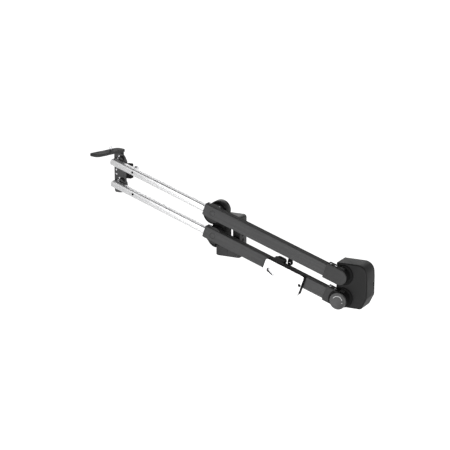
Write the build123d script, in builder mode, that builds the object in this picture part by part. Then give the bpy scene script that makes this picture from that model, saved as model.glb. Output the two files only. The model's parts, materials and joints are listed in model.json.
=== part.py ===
"""Two-bar camera jib: a powered pan base, a parallelogram arm whose silver front bars
telescope into black rear tubes, a level camera platform and a level counterweight.

Frame: the origin is the mouth of the tripod socket on the pan axis, +Z up, +X towards the
counterweight, -Y towards the side that the arms are on. All sizes are in millimetres.
"""

from build123d import *
import os
from math import cos, radians, sin

os.makedirs("parts", exist_ok=True)

# ---- linkage ----
PITCH = 18.9                    # the arm's rest pitch, camera end up
COS = cos(radians(PITCH))
SIN = sin(radians(PITCH))
LINK = 80.0                     # height between the lower and upper pivots
PIVOT_X = -38.0                 # centre pivots, ahead of the pan axis
PIVOT_Z = 80.0                  # lower centre pivot above the tripod face
FRONT_REACH = 414.0             # centre pivot to front pivot
REAR_REACH = 510.0              # centre pivot to rear pivot
LOWER = (PIVOT_X, PIVOT_Z)
UPPER = (PIVOT_X, PIVOT_Z + LINK)
SHAFT_R = 5.0                   # centre pivot shafts
PIN_R = 6.0                     # rear pivot pins
HEAD_PIN_R = 4.0                # front pivot pins
RUN = 0.05                      # radial running clearance
OPEN_PIVOT = 0.3                # radial clearance at the two pivots that close the linkage

# ---- layers across the object, near side to far side ----
ARM_NEAR = -60.0
ARM_FAR = -30.0
ARM_MID = (ARM_NEAR + ARM_FAR) / 2
HUB_BACK = -22.0                # back of the arm hubs
FRAME_NEAR = -20.0
COVER_FACE = 32.5               # the upright frame's open far side
FRAME_FAR = 35.5

# ---- arm tubes, bars and what slides in them ----
ARM_W = 30.0
ARM_H = 43.0
CAVITY_W = 25.0
CAVITY_H = 37.0
ARM_FRONT = -32.5               # stations along the arm, from its centre pivot
CAP_FRONT = 453.0
TUBE_REAR = 470.0
CAP_R = 26.0
CAP_NEAR = -62.0
CAP_FAR = -28.0
CAP_SCREWS = (CAP_FRONT + 8, CAP_FRONT + 28)
CAP_SCREW_R = 3.4
CAP_SCREW_DEPTH = 4.0
LOCK_STATION = ARM_FRONT + 9    # the bar's lock screw, on top of the tube
LOCK_R = 4.0
BAR = 24.0                      # silver bar, square
BAR_WALL = 2.0
BAR_FRONT = -436.0
BAR_REAR = 60.0
BAR_NOSE_R = 8.0
TIP = 3.5                       # black end fitting ahead of the bar
SHOE = 16.0                     # slide shoe behind the bar
CABLE_HOLE = -343.0
HUB_CORE_R = 26.0
HUB_FLANGE_R = {"lower": 30.0, "upper": 35.0}
HUB_FLANGE = (ARM_NEAR + 4, ARM_NEAR + 8)
SHAFT_FAR = {"lower": 29.0, "upper": 14.0}
SET_SCREW_ANGLE = 53.0          # the upper hub's set screw, up and rearward
SET_SCREW_Y = -36.0

# ---- counterweight ----
CASE_FRONT = 417.0
CASE_REAR = 526.0
CASE_TOP = 35.0
CASE_BOTTOM = -121.0
CASE_NEAR = -22.0
CASE_FAR = 53.0
CASE_WALL = 3.0
SLAB_T = 14.0
SLAB_GAP = 1.0
SLAB_START = -14.0
BOLTS = ((CASE_FRONT + 16, 12.0), (CASE_FRONT + 16, CASE_BOTTOM + 16), (CASE_REAR - 24, -60.0))
REAR_BOSS_R = 36.0
REAR_BOSS_T = 5.5
KNOB_R = 29.5
KNOB_FAR = -62.5
KNOB_NEAR = -73.0
KNOB_STEP = 1.5                 # recessed step on the knob's far side

# ---- pan base and upright frame ----
PLATE_R = 24.0
PLATE_T = 6.0
SPIGOT_R = 7.0                  # boss inside the hollow pan shaft, with the socket in it
SOCKET_R = 4.76                 # 3/8 inch tripod thread
SOCKET_DEPTH = 12.0
BASE_LOW = 1.0                  # the housing hangs round the base plate
BASE_TOP = 38.0
BASE_X = (-47.5, 51.0)
BASE_Y = (-28.0, 36.0)
FRAME_X = (-59.0, 48.5)
FRAME_TOP = 147.0
FRAME_R = 11.0                  # its top corners
CHIN = (-42.0, 64.0)            # middle of the round chin ahead of the pan housing
CHIN_R = 39.0
CHIN_TOP = 66.0
CHIN_GAP = 0.5                  # between the chin and the pan housing
WINDOW_X = (-13.0, 22.5)
WINDOW_Z = (52.0, 118.0)
WALL = 3.0
ROOF = 4.0                      # top of the pan housing
BASE_FRONT_R = 20.0             # corners of the pan housing, front and rear
BASE_REAR_R = 7.0
BASE_GROOVE_X = 4.0
PAN_SHAFT_R = 9.5
PAN_BEARING_R = 12.0
PAN_BEARING_Z = (20.0, 30.0)
POST_R = 21.0                   # solid post that carries the upper pivot
POST_FAR = 15.0
DRUM_R = 38.0                   # flange behind the upper arm, with a notch in its rim
DRUM_NOTCH_ANGLE = 48.0
BEARING_R = 10.0
BEARING_BOSS_R = 14.0
LOWER_BEARINGS = ((-18.0, -10.0), (23.0, 31.0))
UPPER_BEARINGS = ((-19.0, -11.0), (5.0, 13.0))
COVER_SCREWS = ((-50.0, 136.0), (38.0, 136.0), (38.0, 47.0), (-60.0, 54.0))
SOCKET_AT = (4.8, 79.6)         # Y and Z of the power socket on the rear face
SOCKET_FACE_R = 5.0
BUTTON_AT = (7.6, 59.7)         # Y and Z of the power button under it
BUTTON_R = 4.0
BUTTON_FLANGE = (42.5, 45.0)    # X of the flange that holds the button in
BOARD_AT = (12.0, 132.5)        # X and Z of the circuit board's middle
BOARD_Y = 20.0
BOARD_T = 1.6

# ---- gears, module 1 ----
LIFT_TEETH = 30
LIFT_PINION_TEETH = 12
PAN_TEETH = 39
PAN_PINION_TEETH = 13
BACKLASH = 0.1                  # extra centre distance
LIFT_CENTRES = (LIFT_TEETH + LIFT_PINION_TEETH) / 2 + BACKLASH
PAN_CENTRES = (PAN_TEETH + PAN_PINION_TEETH) / 2 + BACKLASH
PAN_MOTOR_ANGLE = 15.0          # where the pan motor stands round the pan axis
LIFT_MOTOR = (PIVOT_X, PIVOT_Z - LIFT_CENTRES)
PAN_MOTOR = (PAN_CENTRES * cos(radians(PAN_MOTOR_ANGLE)), PAN_CENTRES * sin(radians(PAN_MOTOR_ANGLE)))
LIFT_GEAR_Y = 0.0               # far face of the lift gears
LIFT_GEAR_T = 7.0
PAN_GEAR_T = 5.0
LIFT_MOTOR_R = 13.0
LIFT_MOTOR_Y = (2.0, 21.5)
PAN_MOTOR_R = 10.8
PAN_MOTOR_LOW = 14.0
MOTOR_SHAFT_R = 2.0

# ---- camera head ----
PLATFORM_Z = 333.0
PLATFORM_T = 9.0
STUD_X = -453.0
STUD_Y = -52.0
STUD_NECK_R = 4.2               # where the stud passes through the platform
STUD_SINK = 0.9                 # countersink round the stud in the platform's top
STUD_FOOT_R = 8.0
STUD_FOOT_T = 3.0
STUD_OUT = 13.0
PLATFORM_MID = (-455.5, -71.0)
PLATFORM_SIZE = (48.0, 142.0)
PLATFORM_R = 16.0
PLATFORM_TURN = -15.0           # about +Z, so that it runs slightly rearward across the head
WAIST = 3.0                     # how far each side is hollowed
WAIST_R = 180.0
HEAD_X = (-455.0, -406.5)
HEAD_Z = (184.0, 330.0)
HEAD_NEAR = -29.0
HEAD_FAR = -23.0
HEAD_BOSS_R = 21.0              # raised round each front pivot
HEAD_BOSS_T = 3.0
HEAD_PIN_NEAR = -52.0
HEAD_DRUM_R = 23.0              # bearing drums behind the plate
HEAD_SCREW_R = 3.2
PLATE_SCREWS = ((-3.0, 25.0), (-15.9, -26.0), (-15.5, -41.5))       # from the upper front pivot
BOSS_SCREW = (-7.2, 16.5)       # on each boss, from its pivot
BRACKET_REAR = -420.0
BRACKET_FAR = HEAD_FAR + 5
BRACKET_MID_Z = 324.0
SHELF_REAR = -424.0
SHELF_NEAR = -40.0
BOX_X = (-412.0, -388.0)
BOX_Y = (HEAD_FAR, -6.0)
BOX_Z = (238.0, 292.0)
THUMB = (-13.6, 277.0)          # Y and Z of the thumb screw's axis
THUMB_X = (-377.0, -366.0)      # its knurled head

# ---- trim carriage on the lower arm ----
CAR_U = (223.0, 373.0)          # along the arm from its centre pivot
CAR_V = (-47.0, 30.0)           # up from its middle
CAR_R = 9.0
CAR_BODY = (-78.0, ARM_NEAR - 0.4)
CAR_PLATE = -84.0
CAR_GAP = 0.4                   # between the carriage and the arm
CAR_MID = ((CAR_U[0] + CAR_U[1]) / 2, (CAR_V[0] + CAR_V[1]) / 2)
SADDLE = ARM_H / 2 + CAR_GAP    # half height of the carriage's grip on the arm
STRIP_H = 8.0
STRIP_L = 120.0
CLAMP_U = (238.0, 278.0)
CLAMP_FAR = HUB_BACK - 0.5
LUG_TOP = 33.0
LOCK_U = 292.0
LOCK_V = 26.5
LOCK_STUD_R = 2.5
POCKET = (255.0, -9.0)
POCKET_SIZE = (34.0, 17.0)
POCKET_DEPTH = 4.5
POCKET_TILT = -14.0
PORT = (366.0, -7.0)
PORT_R = 5.5
PORT_SLIT = 1.6
CAR_SCREWS = ((CAR_U[1] - 8, CAR_V[1] - 7), (CAR_U[0] + 8, CAR_V[0] + 8))


def arm_point(pivot, along, up=0.0):
    """X and Z of a point along the arm from its pivot (rearward) and up from its middle."""
    return pivot[0] + along * COS + up * SIN, pivot[1] - along * SIN + up * COS


def arm_side(pivot, y):
    """Plane at depth y seen from the near side, X rearward along the arm and Y up from it."""
    return Plane(origin=(pivot[0], y, pivot[1]), x_dir=(COS, 0, -SIN), z_dir=(0, -1, 0))


def arm_section(pivot, along):
    """Plane across the arm at a station, X to the far side, Y up from the arm, facing rearward."""
    x, z = arm_point(pivot, along)
    return Plane(origin=(x, ARM_MID, z), x_dir=(0, 1, 0), z_dir=(COS, 0, -SIN))


def level_side(y):
    """Plane at depth y seen from the near side, X rearward and Y up."""
    return Plane(origin=(0, y, 0), x_dir=(1, 0, 0), z_dir=(0, -1, 0))


def arm_top(pivot, along, up):
    """Plane facing up from the arm at a station and a height above its middle."""
    x, z = arm_point(pivot, along, up)
    return Plane(origin=(x, ARM_MID, z), x_dir=(0, 1, 0), z_dir=(SIN, 0, COS))


def save(piece, name):
    piece.part.label = name
    export_step(piece.part, f"parts/{name}.step")


FRONT_LOWER = arm_point(LOWER, -FRONT_REACH)
FRONT_UPPER = arm_point(UPPER, -FRONT_REACH)
REAR_LOWER = arm_point(LOWER, REAR_REACH)
REAR_UPPER = arm_point(UPPER, REAR_REACH)


# ------------------------------------------------------------------ arms
def arm_tube(pivot, name):
    with BuildPart() as tube:
        with BuildSketch(arm_section(pivot, ARM_FRONT)):
            RectangleRounded(ARM_W, ARM_H, 3)
            RectangleRounded(CAVITY_W, CAVITY_H, 1, mode=Mode.SUBTRACT)
        extrude(amount=TUBE_REAR - ARM_FRONT)
        with BuildSketch(arm_top(pivot, LOCK_STATION, ARM_H / 2 - 5)):
            Circle(LOCK_R)
        extrude(amount=10, mode=Mode.SUBTRACT)
    save(tube, name)


def arm_collar(pivot, name):
    """Front collar: a flange on the tube's mouth, with two guide blocks above and below the bar."""
    flange = 4.5
    guide_h = (CAVITY_H - BAR) / 2 - 0.4
    guide_mid = BAR / 2 + 0.2 + guide_h / 2
    with BuildPart() as collar:
        with BuildSketch(arm_section(pivot, ARM_FRONT - flange)):
            RectangleRounded(ARM_W, ARM_H, 5)
            RectangleRounded(BAR + 0.4, BAR + 0.4, 5, mode=Mode.SUBTRACT)
        extrude(amount=flange)
        with BuildSketch(arm_section(pivot, ARM_FRONT)):
            with Locations((0, guide_mid), (0, -guide_mid)):
                Rectangle(BAR, guide_h)
        extrude(amount=24)
    save(collar, name)


def arm_hub(pivot, flange_r, name):
    """Hub that cradles the tube: a thin near flange, a core behind it and a back wall."""
    flange_near, flange_far = HUB_FLANGE
    with BuildPart() as hub:
        with BuildSketch(arm_side(pivot, HUB_BACK)):
            Circle(HUB_CORE_R)
        extrude(amount=HUB_BACK - flange_far)
        with BuildSketch(arm_side(pivot, flange_far)):
            Circle(flange_r)
        extrude(amount=flange_far - flange_near)
        with BuildSketch(arm_side(pivot, ARM_FAR)):
            Rectangle(4 * flange_r, ARM_H + 0.1)
        extrude(amount=ARM_W + 5, mode=Mode.SUBTRACT)
        with BuildSketch(arm_side(pivot, HUB_BACK)):
            Circle(SHAFT_R)
        extrude(amount=HUB_BACK - ARM_FAR, mode=Mode.SUBTRACT)
    save(hub, name)


def shaft(pivot, near, far, radius, name):
    with BuildPart() as rod:
        with BuildSketch(arm_side(pivot, far)):
            Circle(radius)
        extrude(amount=far - near)
        chamfer(rod.edges().group_by(Axis.Y)[-1], 0.6)
    save(rod, name)


def end_cap(pivot, bore_r, blind, name):
    """Rear end cap: a pocket for the tube's end and a round end with the rear pivot's bore."""
    with BuildPart() as cap:
        with BuildSketch(arm_side(pivot, CAP_FAR)):
            with Locations(((CAP_FRONT + REAR_REACH) / 2, 0)):
                Rectangle(REAR_REACH - CAP_FRONT, 2 * CAP_R)
            with Locations((REAR_REACH, 0)):
                Circle(CAP_R)
        extrude(amount=CAP_FAR - CAP_NEAR)
        fillet(cap.faces().sort_by(Axis.Y)[0].outer_wire().edges(), 1.8)
        with BuildSketch(arm_section(pivot, CAP_FRONT)):
            RectangleRounded(ARM_W, ARM_H, 3)
        extrude(amount=TUBE_REAR - CAP_FRONT, mode=Mode.SUBTRACT)
        with BuildSketch(arm_side(pivot, CAP_FAR)):
            with Locations((REAR_REACH, 0)):
                Circle(bore_r)
        extrude(amount=CAP_FAR - CAP_NEAR - blind, mode=Mode.SUBTRACT)
        with BuildSketch(arm_section(pivot, TUBE_REAR)):
            Rectangle(CAVITY_W, CAVITY_H)
        extrude(amount=14, mode=Mode.SUBTRACT)
        for station in CAP_SCREWS:
            with BuildSketch(arm_top(pivot, station, CAP_R - CAP_SCREW_DEPTH)):
                Circle(CAP_SCREW_R)
            extrude(amount=10, mode=Mode.SUBTRACT)
    save(cap, name)


def arm_screws(pivot, name, set_screw):
    """Two cap screws, the bar's lock screw on top of the front end and a hub set screw."""
    with BuildPart() as screws:
        for station in CAP_SCREWS:
            with BuildSketch(arm_top(pivot, station, CAP_R - CAP_SCREW_DEPTH)):
                Circle(CAP_SCREW_R)
            extrude(amount=CAP_SCREW_DEPTH + 0.8)
        with BuildSketch(arm_top(pivot, LOCK_STATION, CAVITY_H / 2 + 0.3)):
            Circle(LOCK_R)
        extrude(amount=(ARM_H - CAVITY_H) / 2 + 2)
        if set_screw:
            lean = radians(SET_SCREW_ANGLE)
            out = (cos(lean), 0, sin(lean))
            start = (pivot[0] + HUB_CORE_R * out[0], SET_SCREW_Y, pivot[1] + HUB_CORE_R * out[2])
            with BuildSketch(Plane(origin=start, x_dir=(0, 1, 0), z_dir=out)):
                Circle(3.2)
            extrude(amount=2.4)
    save(screws, name)


def pivot_cover(pivot, name):
    with BuildPart() as cover:
        with BuildSketch(arm_side(pivot, ARM_NEAR)):
            Circle(9.5)
        extrude(amount=0.8)
        fillet(cover.edges().group_by(Axis.Y)[0], 0.4)
    save(cover, name)


def silver_bar(pivot, bore_r, name):
    """Square tube with a rounded nose, a pivot hole on its far side and a cable hole on its near side."""
    with BuildPart() as bar:
        with BuildSketch(arm_section(pivot, BAR_FRONT)):
            RectangleRounded(BAR, BAR, 5)
        extrude(amount=BAR_REAR - BAR_FRONT)
        with BuildSketch(arm_side(pivot, ARM_MID + BAR / 2)):
            with Locations(((BAR_FRONT + BAR_REAR) / 2 + BAR_NOSE_R, 0)):
                RectangleRounded(BAR_REAR - BAR_FRONT + 2 * BAR_NOSE_R, BAR, BAR_NOSE_R)
        extrude(amount=BAR, mode=Mode.INTERSECT)
        with BuildSketch(arm_section(pivot, BAR_FRONT)):
            RectangleRounded(BAR - 2 * BAR_WALL, BAR - 2 * BAR_WALL, 3)
        extrude(amount=BAR_REAR - BAR_FRONT, mode=Mode.SUBTRACT)
        with BuildSketch(arm_side(pivot, ARM_MID + BAR / 2)):
            with Locations((-FRONT_REACH, 0)):
                Circle(bore_r + 1.5)
        extrude(amount=BAR / 2, mode=Mode.SUBTRACT)
        with BuildSketch(arm_side(pivot, ARM_MID)):
            with Locations((CABLE_HOLE, 0)):
                Circle(4)
        extrude(amount=BAR, mode=Mode.SUBTRACT)
    save(bar, name)


def bar_tip(pivot, bore_r, name):
    """Black end fitting: a plug inside the bar that holds the front pivot, and a nose cover."""
    plug = BAR - 2 * BAR_WALL - 0.1
    with BuildPart() as tip:
        with BuildSketch(arm_side(pivot, ARM_MID + BAR / 2)):
            with Locations((BAR_FRONT - TIP + BAR, 0)):
                RectangleRounded(2 * BAR, BAR, BAR_NOSE_R + 2)
            with Locations((BAR_FRONT + BAR + 1, 0)):
                RectangleRounded(2 * BAR + 2, BAR + 4, BAR_NOSE_R, mode=Mode.SUBTRACT)
            with Locations((BAR_FRONT + BAR, 0)):
                Rectangle(BAR, BAR + 4, mode=Mode.SUBTRACT)
        extrude(amount=BAR)
        with BuildSketch(arm_section(pivot, BAR_FRONT - 1)):
            RectangleRounded(plug, plug, 3)
        extrude(amount=42)
        with BuildSketch(arm_side(pivot, ARM_MID + BAR / 2)):
            with Locations((-FRONT_REACH, 0)):
                Circle(bore_r)
        extrude(amount=BAR - 4, mode=Mode.SUBTRACT)
    save(tip, name)


def bar_shoe(pivot, name):
    """Plastic slide shoe on the bar's rear end, with a spigot inside the bar."""
    spigot = BAR - 2 * BAR_WALL - 0.1
    with BuildPart() as shoe:
        with BuildSketch(arm_section(pivot, BAR_REAR)):
            RectangleRounded(CAVITY_W - 0.4, CAVITY_H - 0.4, 1)
        extrude(amount=SHOE)
        with BuildSketch(arm_section(pivot, BAR_REAR)):
            RectangleRounded(spigot, spigot, 3)
        extrude(amount=-20)
    save(shoe, name)


for side, pivot in (("lower", LOWER), ("upper", UPPER)):
    opened = side == "lower"
    arm_tube(pivot, f"{side}_arm_tube")
    arm_collar(pivot, f"{side}_arm_collar")
    arm_hub(pivot, HUB_FLANGE_R[side], f"{side}_arm_hub")
    shaft(pivot, ARM_FAR, SHAFT_FAR[side], SHAFT_R, f"{side}_arm_shaft")
    end_cap(pivot, PIN_R + (OPEN_PIVOT if opened else RUN), 0 if opened else 3, f"{side}_end_cap")
    arm_screws(pivot, f"{side}_arm_screws", not opened)
    pivot_cover(pivot, f"{side}_pivot_cover")
    tip_bore = HEAD_PIN_R + (OPEN_PIVOT if opened else RUN)
    silver_bar(pivot, tip_bore, f"{side}_bar")
    bar_tip(pivot, tip_bore, f"{side}_bar_tip")
    bar_shoe(pivot, f"{side}_bar_shoe")


# ------------------------------------------------------------------ gears and motors
def gear_teeth(teeth, start):
    """Straight-flanked module 1 teeth with play, drawn on a root disc; start turns the first tooth."""
    pitch_r = teeth / 2
    Circle(pitch_r - 1.15)
    with PolarLocations(0, teeth, start_angle=start):
        Polygon((pitch_r - 1.5, -0.85), (pitch_r + 0.85, -0.32), (pitch_r + 0.85, 0.32),
                (pitch_r - 1.5, 0.85), align=None)


with BuildPart() as lift_gear:
    with BuildSketch(arm_side(LOWER, LIFT_GEAR_Y)):
        gear_teeth(LIFT_TEETH, -90 + PITCH)
        Circle(SHAFT_R, mode=Mode.SUBTRACT)
    extrude(amount=LIFT_GEAR_T)
save(lift_gear, "lift_gear")

with BuildPart() as lift_pinion:
    with BuildSketch(Plane(origin=(LIFT_MOTOR[0], LIFT_GEAR_Y, LIFT_MOTOR[1]), x_dir=(1, 0, 0),
                           z_dir=(0, -1, 0))):
        gear_teeth(LIFT_PINION_TEETH, 90 + 180 / LIFT_PINION_TEETH)
        Circle(MOTOR_SHAFT_R + RUN, mode=Mode.SUBTRACT)
    extrude(amount=LIFT_GEAR_T)
save(lift_pinion, "lift_pinion")

with BuildPart() as lift_motor:
    with BuildSketch(level_side(LIFT_MOTOR_Y[1])):
        with Locations(LIFT_MOTOR):
            Circle(LIFT_MOTOR_R)
    extrude(amount=LIFT_MOTOR_Y[1] - LIFT_MOTOR_Y[0])
    fillet(lift_motor.edges().filter_by(GeomType.CIRCLE), 1)
    with BuildSketch(level_side(LIFT_MOTOR_Y[0])):
        with Locations(LIFT_MOTOR):
            Circle(MOTOR_SHAFT_R)
    extrude(amount=10)
save(lift_motor, "lift_motor")

with BuildPart() as pan_gear:
    with BuildSketch(Plane.XY.offset(PLATE_T)):
        gear_teeth(PAN_TEETH, PAN_MOTOR_ANGLE)
        Circle(PAN_SHAFT_R, mode=Mode.SUBTRACT)
    extrude(amount=PAN_GEAR_T)
save(pan_gear, "pan_gear")

with BuildPart() as pan_pinion:
    with BuildSketch(Plane(origin=(PAN_MOTOR[0], PAN_MOTOR[1], PLATE_T + 0.8))):
        gear_teeth(PAN_PINION_TEETH, PAN_MOTOR_ANGLE + 180 + 180 / PAN_PINION_TEETH)
        Circle(MOTOR_SHAFT_R + RUN, mode=Mode.SUBTRACT)
    extrude(amount=PAN_GEAR_T)
save(pan_pinion, "pan_pinion")

with BuildPart() as pan_motor:
    with BuildSketch(Plane(origin=(PAN_MOTOR[0], PAN_MOTOR[1], PAN_MOTOR_LOW))):
        Circle(PAN_MOTOR_R)
    extrude(amount=BASE_TOP - ROOF - PAN_MOTOR_LOW)
    fillet(pan_motor.edges().filter_by(GeomType.CIRCLE), 1)
    with BuildSketch(Plane(origin=(PAN_MOTOR[0], PAN_MOTOR[1], PAN_MOTOR_LOW))):
        Circle(MOTOR_SHAFT_R)
    extrude(amount=-7)
save(pan_motor, "pan_motor")

# ------------------------------------------------------------------ tripod side
with BuildPart() as base_plate:
    with BuildSketch(Plane.XY):
        Circle(PLATE_R)
    extrude(amount=PLATE_T)
    chamfer(base_plate.edges().group_by(Axis.Z)[0], 0.8)
    with BuildSketch(Plane.XY.offset(PLATE_T)):
        Circle(SPIGOT_R)
    extrude(amount=8)
    with BuildSketch(Plane.XY):
        Circle(SOCKET_R)
    extrude(amount=SOCKET_DEPTH, mode=Mode.SUBTRACT)
save(base_plate, "base_plate")

with BuildPart() as pan_shaft:
    with BuildSketch(Plane.XY.offset(PLATE_T)):
        Circle(PAN_SHAFT_R)
        Circle(SPIGOT_R, mode=Mode.SUBTRACT)
    extrude(amount=27)
save(pan_shaft, "pan_shaft")

# ------------------------------------------------------------------ turret
with BuildPart() as pan_housing:
    wide = BASE_X[1] - BASE_X[0]
    deep = BASE_Y[1] - BASE_Y[0]
    middle = ((BASE_X[0] + BASE_X[1]) / 2, (BASE_Y[0] + BASE_Y[1]) / 2)
    with BuildSketch(Plane.XY.offset(BASE_LOW)) as plan:
        with Locations(middle):
            Rectangle(wide, deep)
        fillet(plan.vertices().group_by(Axis.X)[0], BASE_FRONT_R)
        fillet(plan.vertices().group_by(Axis.X)[-1], BASE_REAR_R)
    extrude(amount=BASE_TOP - BASE_LOW)
    fillet(pan_housing.faces().sort_by(Axis.Z)[0].outer_wire().edges(), 2.5)
    with BuildSketch(Plane.XY.offset(BASE_LOW)) as cavity:
        with Locations(middle):
            Rectangle(wide - 2 * WALL, deep - 2 * WALL)
        fillet(cavity.vertices().group_by(Axis.X)[0], BASE_FRONT_R - WALL)
        fillet(cavity.vertices().group_by(Axis.X)[-1], BASE_REAR_R - WALL)
    extrude(amount=BASE_TOP - ROOF - BASE_LOW, mode=Mode.SUBTRACT)
    with BuildSketch(Plane.XY.offset(BASE_TOP - ROOF)):
        Circle(PAN_BEARING_R + WALL)
        Circle(PAN_BEARING_R, mode=Mode.SUBTRACT)
    extrude(amount=-16)
    with BuildSketch(Plane.XY.offset(BASE_LOW)):
        with Locations((BASE_GROOVE_X, BASE_Y[0])):
            Rectangle(2.4, 3)
    extrude(amount=BASE_TOP - BASE_LOW, mode=Mode.SUBTRACT)
save(pan_housing, "pan_housing")

with BuildPart() as pan_bearing:
    with BuildSketch(Plane.XY.offset(PAN_BEARING_Z[0])):
        Circle(PAN_BEARING_R)
        Circle(PAN_SHAFT_R + RUN, mode=Mode.SUBTRACT)
    extrude(amount=PAN_BEARING_Z[1] - PAN_BEARING_Z[0])
save(pan_bearing, "pan_bearing")


def frame_outline(inset):
    """Side outline of the upright frame, inset by a wall: chin, box and the window through it."""
    low = BASE_TOP + inset
    with Locations(CHIN):
        Circle(CHIN_R - inset)
    with Locations((CHIN[0], CHIN_TOP - inset - CHIN_R)):
        Rectangle(4 * CHIN_R, 2 * CHIN_R, mode=Mode.INTERSECT)
    with Locations((BASE_X[0] - CHIN_GAP - inset + CHIN_R, low - CHIN_R)):
        Rectangle(2 * CHIN_R, 2 * CHIN_R, mode=Mode.SUBTRACT)
    wide = FRAME_X[1] - FRAME_X[0] - 2 * inset
    high = FRAME_TOP - low - inset
    middle = FRAME_X[0] + inset + wide / 2
    with Locations((middle, low + high / 2)):
        RectangleRounded(wide, high, FRAME_R - inset)
    with Locations((middle, low + high / 4)):
        Rectangle(wide, high / 2)
    with Locations((sum(WINDOW_X) / 2, sum(WINDOW_Z) / 2)):
        RectangleRounded(WINDOW_X[1] - WINDOW_X[0] + 2 * inset,
                         WINDOW_Z[1] - WINDOW_Z[0] + 2 * inset, 4 + inset, mode=Mode.SUBTRACT)


with BuildPart() as drive_housing:
    with BuildSketch(level_side(COVER_FACE)):
        frame_outline(0)
    extrude(amount=COVER_FACE - FRAME_NEAR)
    with BuildSketch(level_side(COVER_FACE)):
        frame_outline(WALL)
    extrude(amount=COVER_FACE - FRAME_NEAR - WALL, mode=Mode.SUBTRACT)
    # upper pivot: a solid post with a round head, and the drum flange behind the arm
    with BuildSketch(level_side(POST_FAR)):
        with Locations(UPPER):
            Circle(POST_R)
        with Locations((PIVOT_X, (FRAME_TOP + UPPER[1]) / 2 - 2)):
            Rectangle(2 * POST_R, UPPER[1] - FRAME_TOP + 4)
    extrude(amount=POST_FAR - FRAME_NEAR)
    notch = radians(DRUM_NOTCH_ANGLE)
    with BuildSketch(level_side(POST_FAR)):
        with Locations(UPPER):
            Circle(DRUM_R)
            with Locations((DRUM_R * cos(notch), DRUM_R * sin(notch))):
                Circle(4, mode=Mode.SUBTRACT)
        with Locations((PIVOT_X, FRAME_TOP - DRUM_R)):
            Rectangle(4 * DRUM_R, 2 * DRUM_R, mode=Mode.SUBTRACT)
    extrude(amount=17)
    with BuildSketch(level_side(POST_FAR)):
        with Locations(UPPER):
            Circle(BEARING_R)
    extrude(amount=POST_FAR - FRAME_NEAR, mode=Mode.SUBTRACT)
    # lower pivot: bearing boss inside the near wall
    with BuildSketch(level_side(FRAME_NEAR + WALL)):
        with Locations(LOWER):
            Circle(BEARING_BOSS_R)
    extrude(amount=-8)
    with BuildSketch(level_side(FRAME_NEAR + WALL + 8)):
        with Locations(LOWER):
            Circle(BEARING_R)
    extrude(amount=9, mode=Mode.SUBTRACT)
    with BuildSketch(level_side(FRAME_NEAR + 2)):
        with Locations(LOWER):
            Circle(SHAFT_R + 2)
    extrude(amount=2, mode=Mode.SUBTRACT)
    # posts for the cover screws
    with BuildSketch(level_side(COVER_FACE)):
        with Locations(*COVER_SCREWS):
            Circle(5)
            Circle(1.6, mode=Mode.SUBTRACT)
    extrude(amount=COVER_FACE - FRAME_NEAR - 1)
    # socket and button holes in the rear face
    with BuildSketch(Plane.YZ.offset(FRAME_X[1] - WALL - 1)):
        with Locations(SOCKET_AT):
            Circle(SOCKET_FACE_R)
        with Locations(BUTTON_AT):
            Circle(BUTTON_R + 0.2)
    extrude(amount=WALL + 2, mode=Mode.SUBTRACT)
save(drive_housing, "drive_housing")

with BuildPart() as drive_cover:
    with BuildSketch(level_side(FRAME_FAR)):
        frame_outline(0)
    extrude(amount=FRAME_FAR - COVER_FACE)
    with BuildSketch(level_side(COVER_FACE)):
        with Locations(LOWER):
            Circle(BEARING_BOSS_R)
    extrude(amount=10.5)
    with BuildSketch(level_side(COVER_FACE - 1.5)):
        with Locations(LOWER):
            Circle(BEARING_R)
    extrude(amount=9, mode=Mode.SUBTRACT)
    with BuildSketch(level_side(FRAME_FAR)):
        with Locations(*COVER_SCREWS):
            Circle(1.6)
    extrude(amount=FRAME_FAR - COVER_FACE, mode=Mode.SUBTRACT)
save(drive_cover, "drive_cover")

with BuildPart() as cover_screws:
    for x, z in COVER_SCREWS:
        with BuildSketch(level_side(FRAME_FAR)):
            with Locations((x, z)):
                Circle(1.5)
        extrude(amount=14)
        with BuildSketch(level_side(FRAME_FAR)):
            with Locations((x, z)):
                Circle(3)
                RegularPolygon(1.5, 6, mode=Mode.SUBTRACT)
        extrude(amount=-2)
save(cover_screws, "cover_screws")


def bearing_pair(pivot, spans, name):
    """Two bearing rings round a centre pivot shaft, each given by its near and far face."""
    with BuildPart() as rings:
        for near, far in spans:
            with BuildSketch(arm_side(pivot, far)):
                Circle(BEARING_R)
                Circle(SHAFT_R + RUN, mode=Mode.SUBTRACT)
            extrude(amount=far - near)
    save(rings, name)


bearing_pair(LOWER, LOWER_BEARINGS, "lower_bearings")
bearing_pair(UPPER, UPPER_BEARINGS, "upper_bearings")

with BuildPart() as circuit_board:
    with BuildSketch(level_side(BOARD_Y + BOARD_T)):
        with Locations(BOARD_AT):
            Rectangle(40, 18)
    extrude(amount=BOARD_T)
    with BuildSketch(level_side(BOARD_Y)):
        with Locations(BOARD_AT):
            Rectangle(10, 10)
            with Locations((-14, 0), (14, -2.5)):
                Rectangle(6, 5)
    extrude(amount=2.2)
save(circuit_board, "circuit_board")

with BuildPart() as power_socket:
    with BuildSketch(Plane.YZ.offset(FRAME_X[1] - 12.5)):
        with Locations(SOCKET_AT):
            Circle(SOCKET_FACE_R)
    extrude(amount=12.9)
    with BuildSketch(Plane.YZ.offset(FRAME_X[1] - 9.5)):
        with Locations(SOCKET_AT):
            Circle(3)
            Circle(1, mode=Mode.SUBTRACT)
    extrude(amount=20, mode=Mode.SUBTRACT)
save(power_socket, "power_socket")

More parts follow.
